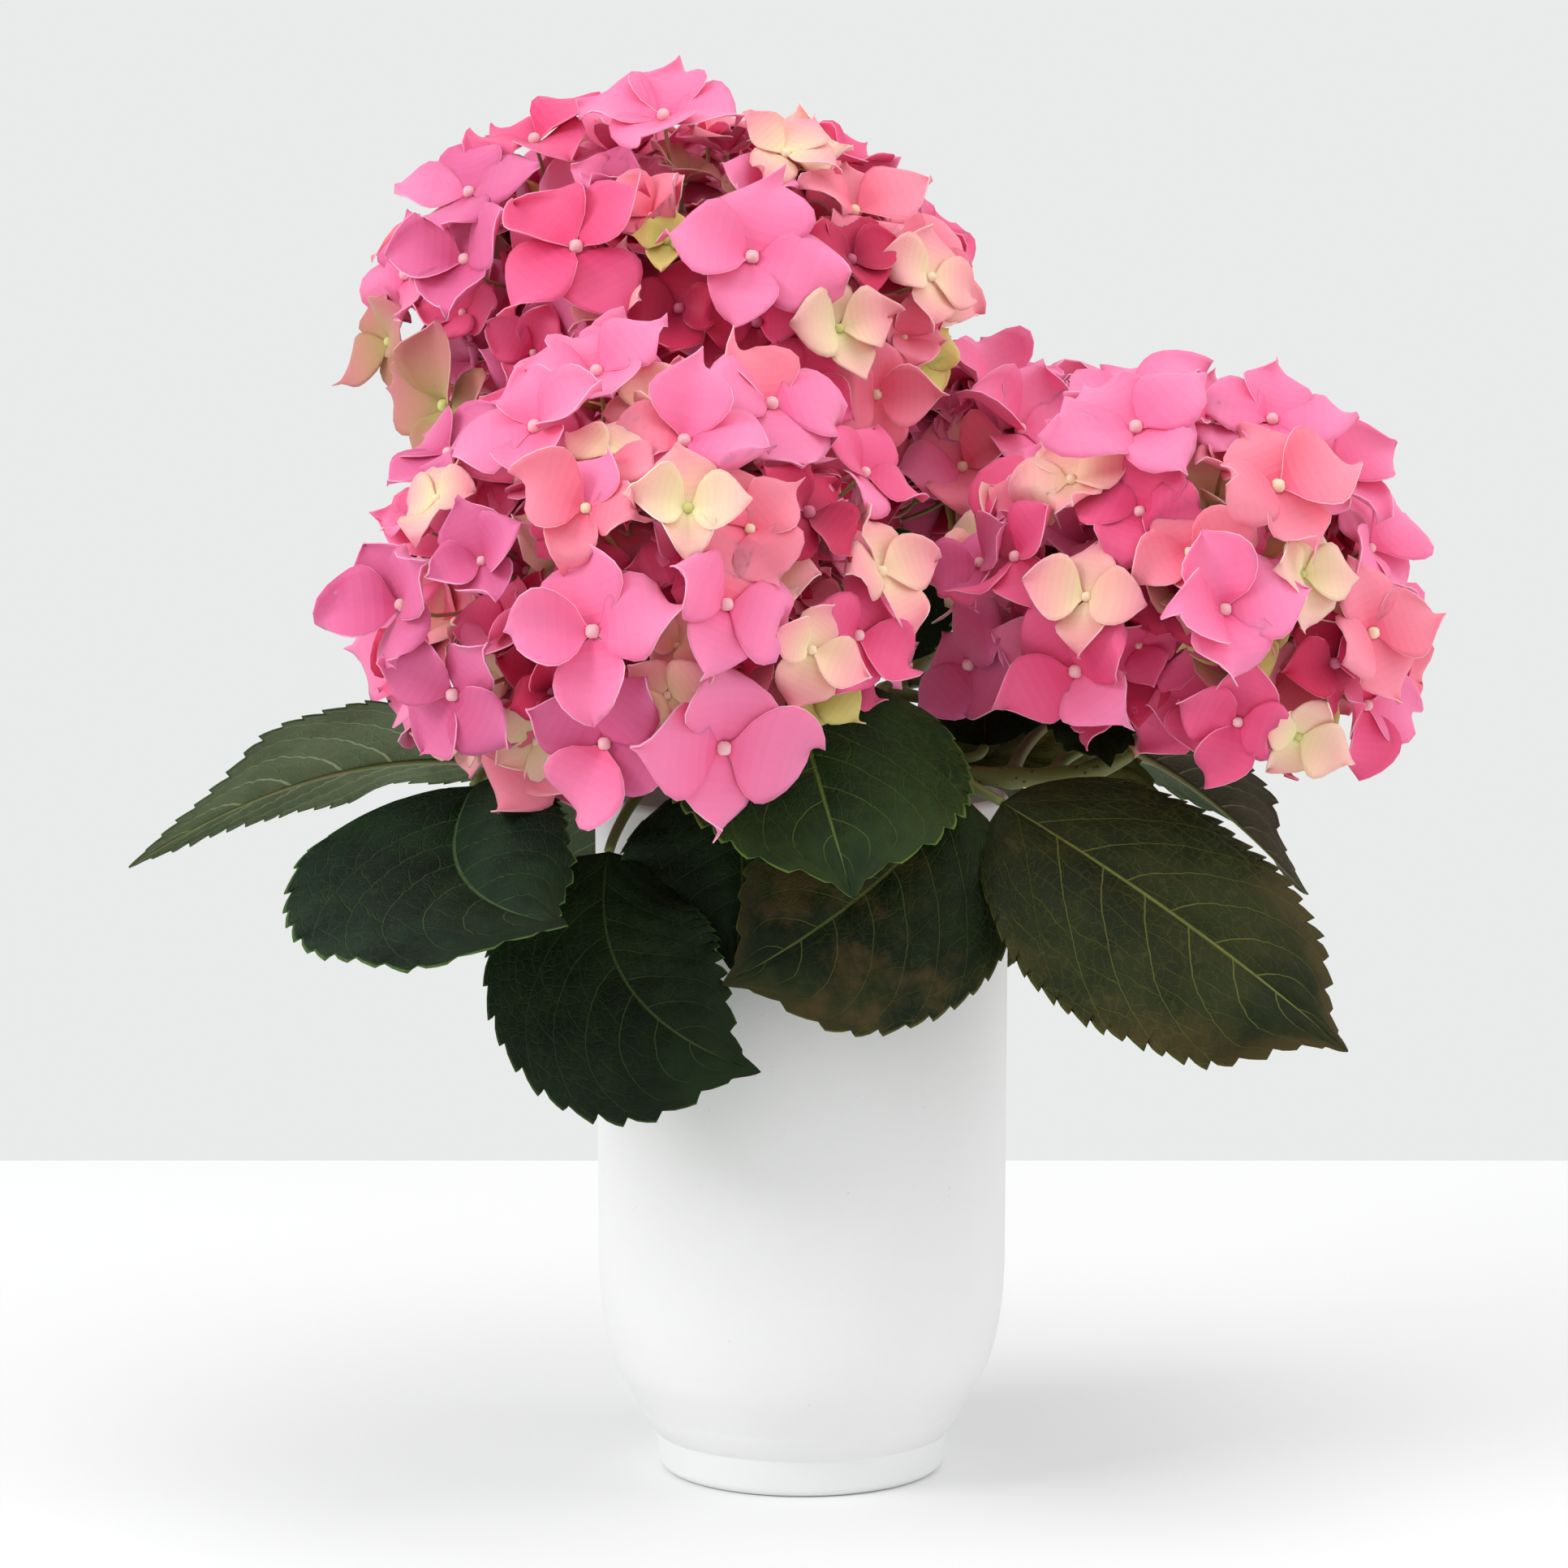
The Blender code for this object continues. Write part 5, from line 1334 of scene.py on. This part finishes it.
def tooth_reach(t, a, teeth, share, dice):
    """The margin's teeth at each place, as a height and a size. The height goes from 0 to 1 over a
    tooth's convex back and straight down past its point; the size swings along the blade, grows
    from nothing at its base and differs from one half to the other."""
    step = (t * teeth) % 1.0
    tooth = np.where(step < TOOTH_POINT_AT, (step / TOOTH_POINT_AT) ** TOOTH_BACK_POWER,
                     (1.0 - step) / (1.0 - TOOTH_POINT_AT))
    near_base = np.clip(t / TOOTH_FULL_FROM, 0.0, 1.0)
    size = np.minimum(share * TOOTH_WIDTH_GROWTH, 1.0) * near_base
    size = size * dice.uniform(*TOOTH_SIZES, (1, 2))[:, (a[0] > 0) * 1]
    return tooth, size * (1.0 + TOOTH_SWING * np.sin(t * teeth * TOOTH_SWING_TURN))


def pillows(t, a):
    """The swell of the lamina: lowest on the side veins, highest midway between them, and a little
    lower midway between the rungs than beside them."""
    phase = VEINS * (t - VEIN_LEAD * np.abs(a) - VEIN_ARCH * a ** 2 - VEIN_OFFSET * np.sign(a))
    rungs = RUNGS * np.abs(a) + RUNG_OFFSET * np.floor(phase)
    by_rungs = 1.0 - PILLOW_RUNG_SINK * (1.0 - np.abs(np.cos(math.pi * rungs)) ** PILLOW_POWER)
    return np.abs(np.sin(math.pi * phase)) ** PILLOW_POWER * by_rungs - PILLOW_LEVEL


def blade_surface(plan, seed):
    """A blade as a grid (rows, columns, 3). Out from the midrib by its half width, each half tilted
    by its own fold and curled down by the square of its reach; the margin is cut into forward
    teeth, waves gently, and the lamina swells between the side veins."""
    rows, teeth = blade_rows(plan)
    dice = np.random.default_rng(seed)
    t = rows[:, None]
    a = BLADE_COLUMNS[None, :]
    points, along = midrib(plan, t + a * 0.0)
    sideways, upwards = blade_frame(plan, along)
    left, right = plan["widths"]
    share = blade_share(t)
    start, end, depth = plan.get("drawn", BLADE_DRAWN_TIP)
    half = np.where(a < 0.0, left, right) * share * (1.0 - depth * smoothstep(start, end, t)) * MM
    fold = np.radians(np.where(a < 0.0, *plan["folds"])) * (1.0 - t ** 3)
    tooth, size = tooth_reach(t, a, teeth, share, dice)
    edge = np.abs(a) ** MARGIN_POWER
    reach = np.abs(a) * half + edge * (tooth - TOOTH_MIDDLE) * size * TOOTH_DEPTH_MM * MM
    forward = edge * tooth * size * TOOTH_FORWARD_MM * MM
    rise = reach * np.sin(fold) - BLADE_CURL * reach * np.abs(a)
    channel = 1.0 - np.exp(-(a / MIDRIB_WIDTH) ** 2)
    swell = pillows(t, a) * channel * (1.0 - a ** 6) * np.minimum(share * PILLOW_WIDTH_GROWTH, 1.0)
    rise = rise + PILLOW_MM * MM * swell
    rise = rise - MIDRIB_SINK_MM * MM * (1.0 - channel) * share
    for side in (-1.0, 1.0):
        lifted = sum(weight * np.sin(2.0 * math.pi * (dice.uniform(low, high) * t + dice.uniform(0.0, 1.0)))
                     for low, high, weight in EDGE_WAVE_COUNTS)
        rise = rise + EDGE_WAVE_MM * MM * lifted * (a * side > 0.0) * np.abs(a) ** EDGE_WAVE_POWER * share
    return (points + sideways * (np.sign(a) * reach * np.cos(fold))[..., None]
            + upwards * rise[..., None] + along * forward[..., None]), rows


def petiole_path(plan, steps):
    """The leaf stalk: square off the cane and over to the blade's base."""
    cane = cane_curve(plan["cane"])
    share = plan["node"] / CANE_NODES
    node, growing = bezier(cane, share)
    base, along = midrib(plan, 0.0)
    outward = base - node
    outward[2] = max(outward[2], PETIOLE_RISE * np.linalg.norm(base - node))
    outward = unit(outward - growing * (outward @ growing))
    start = node + outward * cane_radius(share) * PETIOLE_ROOTING
    reach = np.linalg.norm(base - start)
    leaving = start + outward * reach * PETIOLE_LEAVING
    arriving = base - along * reach * PETIOLE_ARRIVING
    return bezier((start, leaving, arriving, base), np.linspace(0.0, 1.0, steps))[0]


def build_leaf(name, uppers, unders, stalk):
    """One leaf: the blade as a thin sheet, its midrib proud of the underside and its stalk."""
    plan = LEAVES[name]
    surface, rows = blade_surface(plan, sum(map(ord, name)))
    along, across = np.meshgrid(rows, BLADE_COLUMNS / 2 + 0.5, indexing="ij")
    skin = Skin()
    places = np.stack((along, across), axis=-1)
    thin_sheets(skin, surface[None], BLADE_THICKNESS_MM * MM, 0, 1, 0, places)
    ribs = surface[::2, len(BLADE_COLUMNS) // 2]
    down = -blade_frame(plan, midrib(plan, rows[::2])[1])[1]
    radii = RIB_RADIUS_MM * MM * (1.0 - RIB_TAPER * rows[::2])
    tubes(skin, (ribs + down * radii[:, None] * RIB_STANDING)[None], radii[None], RIB_SIDES, 2)
    share = np.linspace(0.0, 1.0, PETIOLE_STATIONS)
    foot = PETIOLE_FOOT_GROWTH * np.exp(-share / PETIOLE_FOOT_SHARE)
    radii = PETIOLE_RADIUS_MM * MM * (1.0 - PETIOLE_TAPER * share + foot)
    over = (round_angles(PETIOLE_SIDES) - math.pi / 2) / PETIOLE_GROOVE_WIDTH
    channel = 1.0 - PETIOLE_GROOVE * np.exp(-over ** 2)
    tubes(skin, petiole_path(plan, PETIOLE_STATIONS)[None], (radii[:, None] * channel[None, :])[None],
          PETIOLE_SIDES, 2)
    piece = skin.object("foliage_" + name, [uppers[plan["kind"]], unders[plan["kind"]], stalk])
    settle(piece, "leaf", "leaf_" + name)


def build_leaves():
    uppers = {kind: leaf_finish(kind, False) for kind in LEAF_COLOURS}
    unders = {kind: leaf_finish(kind, True) for kind in LEAF_COLOURS}
    stalk = stalk_finish("leaf_stalk", (0.150, 0.180, 0.050), (0.200, 0.170, 0.080))
    for name in LEAVES:
        build_leaf(name, uppers, unders, stalk)


# ---------------------------------------------------------------- canes, crown, soil and pot

def build_canes():
    """Canes with a swollen ring at each pair of leaves, faint ridges and a slight waver."""
    finish = cane_finish()
    share = np.linspace(0.0, 1.0, CANE_STATIONS)
    angle = round_angles(CANE_SIDES)
    for head in HEADS:
        path = bezier(cane_curve(head), share)[0]
        swollen = np.zeros(CANE_STATIONS)
        for plan in LEAVES.values():
            if plan["cane"] == head:
                swollen += np.exp(-((share - plan["node"] / CANE_NODES) / CANE_RING_WIDTH) ** 2)
        radius = cane_radius(share) * (1.0 + CANE_RING_GROWTH * np.minimum(swollen, 1.0))
        waver = CANE_WAVER * waves(path, CANE_WAVER_MM * MM, 5)
        ridges = 1.0 + CANE_RIDGE_HEIGHT * np.cos(angle * CANE_RIDGES)[None, :] + waver[:, None]
        skin = Skin()
        tubes(skin, path[None], (radius[:, None] * ridges)[None], CANE_SIDES, 0)
        settle(skin.object("stem_" + head, [finish]), "cane", "cane_" + head)


def build_crown():
    """The short woody crown: a flared foot, a top drawn in a little, and bark standing in plates
    and furrows."""
    foot = SOIL_TOP_MM + SOIL_MOUND_MM + GAP_MM
    share = np.linspace(0.0, 1.0, CROWN_STATIONS)
    angle = round_angles(CROWN_SIDES)
    flare = (CROWN_FLARE_RADIUS_MM - CROWN_TOP_RADIUS_MM) * (1.0 - share) ** CROWN_FLARE_POWER
    shoulder = 1.0 - CROWN_DRAWN_IN * (1.0 - (1.0 - share) * CROWN_SHOULDER)
    radius = (CROWN_TOP_RADIUS_MM + flare) * np.minimum(1.0, shoulder)
    height = foot + CROWN_HEIGHT_MM * share
    level = height[:, None] / CROWN_TOP_RADIUS_MM * 0.5
    place = np.stack(np.broadcast_arrays(np.cos(angle)[None, :], np.sin(angle)[None, :], level), axis=-1)
    place = place * CROWN_BARK_PLACE
    bark = sum(depth * waves(place, length, seed) for depth, length, seed in CROWN_BARK)
    path = np.stack((0.0 * share, 0.0 * share, height), axis=-1) * MM
    skin = Skin()
    tubes(skin, path[None], (radius[:, None] * (0.97 + bark))[None] * MM, CROWN_SIDES, 0)
    settle(skin.object("woody_crown", [bark_finish()]), "bark", "trunk")


def arc(centre, radii, start, end, steps):
    """Points (radius, height) on an ellipse's arc, angles measured from +radius towards +height."""
    angle = np.linspace(start, end, steps + 1)
    return np.stack((centre[0] + radii[0] * np.cos(angle), centre[1] + radii[1] * np.sin(angle)), axis=-1)


def lathe(skin, profile_mm, sides, finish, lift=None):
    """A profile of (radius, height) swept round Z, its two ends closed by small discs. lift moves
    the points up by a formula of their own place."""
    angle = round_angles(sides)
    radius, height = profile_mm[:, 0, None], profile_mm[:, 1, None]
    points = np.stack((radius * np.cos(angle), radius * np.sin(angle), height + 0.0 * angle), axis=-1)
    if lift is not None:
        points = points + lift(points)
    rows = len(profile_mm)
    quads = grid_quads(rows, sides, wrap=True)
    run = np.concatenate(([0.0], np.cumsum(np.linalg.norm(np.diff(profile_mm, axis=0), axis=1))))
    places = np.stack(np.broadcast_arrays(angle[None, :] / (2.0 * math.pi), run[:, None] / 1000.0),
                      axis=-1)
    first = np.arange(sides)[None, :]
    last = (rows - 1) * sides + np.arange(sides)[None, ::-1]
    skin.add(points * MM, [quads, first, last], finish, places)


def inside_floor(radius, gap):
    """The round that leads from a wall of some radius down to the floor inside the pot, and stays
    a gap clear of the pot's own."""
    flat = POT_FLOOR_RADIUS_MM - gap
    return (flat, POT_SHOULDER_HEIGHT_MM), (radius - flat, POT_SHOULDER_HEIGHT_MM - POT_FLOOR_MM - gap)


def build_pot():
    """The pot from the middle of its inside floor, up the wall, over the rim and down to its foot."""
    inner_top = POT_TOP_RADIUS_MM - POT_WALL_MM
    half_wall = POT_WALL_MM / 2
    floor = ((PINHOLE_MM, POT_FLOOR_MM), (22.0, POT_FLOOR_MM))
    inside = arc(*inside_floor(POT_BODY_RADIUS_MM - POT_WALL_MM, 0.0), math.radians(-90), 0.0, 14)
    lip = arc((inner_top + half_wall, POT_HEIGHT_MM - half_wall), (half_wall, half_wall), math.pi, 0.0, 14)
    shoulder = arc((POT_BODY_RADIUS_MM - POT_SHOULDER_INSET_MM, POT_SHOULDER_HEIGHT_MM),
                   (POT_SHOULDER_INSET_MM, POT_SHOULDER_DROP_MM), 0.0, -POT_SHOULDER_TURN, 26)
    wall = lip[-1] + (shoulder[0] - lip[-1]) * np.linspace(0.0, 1.0, 16)[1:-1, None]
    crease = np.array((POT_CREASE_RADIUS_MM, POT_CREASE_HEIGHT_MM))
    skirt = shoulder[-1] + (crease - shoulder[-1]) * np.array((0.5, 0.92, 1.0))[:, None]
    foot = np.array((FOOT_TOP_RADIUS_MM, FOOT_TOP_HEIGHT_MM)) + np.array(
        ((FOOT_CHAMFER_MM, 0.45), (0.0, 0.0), (-0.25, -FOOT_RIM_MM)))
    fillet = arc((FOOT_RADIUS_MM - FOOT_FILLET_MM, FOOT_FILLET_MM), (FOOT_FILLET_MM, FOOT_FILLET_MM),
                 0.0, math.radians(-90), 8)
    depths = (0.0, 0.5, FOOT_RECESS_MM, FOOT_RECESS_MM, FOOT_RECESS_MM)
    recess = np.stack(((*RECESS_RADII_MM, PINHOLE_MM), depths), axis=-1)
    profile = np.concatenate((floor, inside, lip, wall, shoulder, skirt, foot, fillet, recess))
    skin = Skin()
    lathe(skin, profile[::-1], POT_SIDES, 0)
    settle(skin.object("bisque_pot", [pot_finish()]), "pot", "pot")


def soil_lift(points):
    """Lumps in the top of the mix, in millimetres; the sides and bottom stay still."""
    lumps = sum(height * waves(points, length, seed) for height, length, seed in SOIL_LUMPS)
    top = smoothstep(SOIL_TOP_MM - 6.0, SOIL_TOP_MM - 1.0, points[..., 2])
    spread = np.linalg.norm(points[..., :2], axis=-1)
    calm = smoothstep(*SOIL_CALM_IN_MM, spread) * (1.0 - smoothstep(*SOIL_CALM_OUT_MM, spread))
    lifted = np.zeros_like(points)
    lifted[..., 2] = (lumps - SOIL_LUMP_SINK_MM) * top * calm
    return lifted


def mound(radius, out):
    """Height of the mix at a distance out from the middle, before its lumps."""
    return SOIL_MOUND_MM * (1.0 - smoothstep(SOIL_MOUND_FOOT_MM, radius, out)) - SOIL_SINK_MM


def build_soil():
    """The mix: a mound sunk a little to the wall, with crumbs, bark bits and white grains on it."""
    radius = POT_TOP_RADIUS_MM - POT_WALL_MM - SOIL_GAP_MM - 0.2
    body = POT_BODY_RADIUS_MM - POT_WALL_MM - SOIL_GAP_MM - 0.1
    out = np.linspace(0.4, radius - 0.8, 56)
    top = np.stack((out, SOIL_TOP_MM + mound(radius, out)), axis=-1)
    side = ((radius - 0.2, SOIL_TOP_MM - 1.0), (radius - 0.3, SOIL_TOP_MM - 8.0))
    wall = arc(*inside_floor(body, SOIL_GAP_MM), 0.0, math.radians(-90), 10)
    floor = POT_FLOOR_MM + SOIL_GAP_MM
    profile = np.concatenate((top, side, wall, ((20.0, floor), (0.4, floor))))
    skin = Skin()
    lathe(skin, profile[::-1], SOIL_SIDES, 0, soil_lift)
    ground = soil_finish("potting_mix", (0.012, 0.008, 0.006), (0.060, 0.040, 0.025))
    settle(skin.object("potting_mix", [ground]), "soil", "soil")
    dice = np.random.default_rng(CRUMB_SEED)
    away = np.sqrt(dice.uniform(CRUMB_NEAREST, 1.0, CRUMBS)) * (radius - 2.5)
    turn = dice.uniform(0.0, 2.0 * math.pi, CRUMBS)
    place = np.stack((away * np.cos(turn), away * np.sin(turn), SOIL_TOP_MM + mound(radius, away)), axis=-1)
    place = place + soil_lift(place)
    size = dice.uniform(*CRUMB_SIZES_MM, CRUMBS) ** CRUMB_SIZE_POWER
    axes = unit(dice.normal(size=(CRUMBS, 3)) * (1.0, 1.0, 0.5))
    finish = dice.choice(len(CRUMB_SHARES), CRUMBS, p=CRUMB_SHARES)
    crumbs = Skin()
    for number in range(len(CRUMB_SHARES)):
        some = finish == number
        balls(crumbs, place[some] * MM, axes[some], size[some] * MM, number, stations=5, sides=6,
              lobes=2, lobe_depth=0.35)
    shades = [soil_finish("soil_crumb", (0.018, 0.011, 0.007), (0.075, 0.048, 0.030)),
              soil_finish("bark_bit", (0.065, 0.035, 0.018), (0.170, 0.100, 0.055)),
              soil_finish("pale_grain", (0.48, 0.45, 0.40), (0.66, 0.64, 0.60))]
    settle(crumbs.object("soil_crumbs", shades), "soil")


# ---------------------------------------------------------------- stage, light and camera

def build_stage():
    """A plain white table under a pale even sky."""
    bpy.ops.mesh.primitive_plane_add(size=2.0)
    table = bpy.context.object
    table.name = "table_top"
    table.scale = (TABLE_HALF_WIDTH, TABLE_BACK_EDGE, 1.0)
    recipe = Recipe("table_white", roughness=0.5, specular=0.3)
    recipe.set("Base Color", TABLE_WHITE)
    table.data.materials.append(recipe.material)
    world = bpy.data.worlds.new("pale_studio")
    world.use_nodes = True
    world.node_tree.nodes["Background"].inputs["Color"].default_value = (*BACKDROP, 1.0)
    bpy.context.scene.world = world
    bpy.context.scene.view_settings.view_transform = "Standard"


def build_lights():
    """Large round lights, all turned to the middle of the plant."""
    for name, (place, size, power) in LIGHTS.items():
        lamp = bpy.data.lights.new(name, "AREA")
        lamp.shape = "DISK"
        lamp.size = size
        lamp.energy = power
        made = bpy.data.objects.new(name, lamp)
        made.location = place
        aim = Vector(LIGHTS_AIM) - Vector(place)
        made.rotation_euler = aim.to_track_quat("-Z", "Y").to_euler()
        bpy.context.scene.collection.objects.link(made)


def build_camera():
    camera = bpy.data.cameras.new("camera")
    camera.lens = CAMERA_LENS_MM
    camera.sensor_width = CAMERA_SENSOR_MM
    made = bpy.data.objects.new("camera", camera)
    back = Vector((0.0, -math.cos(CAMERA_PITCH), math.sin(CAMERA_PITCH)))
    made.location = Vector(CAMERA_TARGET) + back * CAMERA_DISTANCE
    made.rotation_euler = (-back).to_track_quat("-Z", "Y").to_euler()
    bpy.context.scene.collection.objects.link(made)
    bpy.context.scene.camera = made


build_camera()
build_stage()
build_lights()
build_pot()
build_soil()
build_crown()
build_canes()
build_leaves()
build_heads()
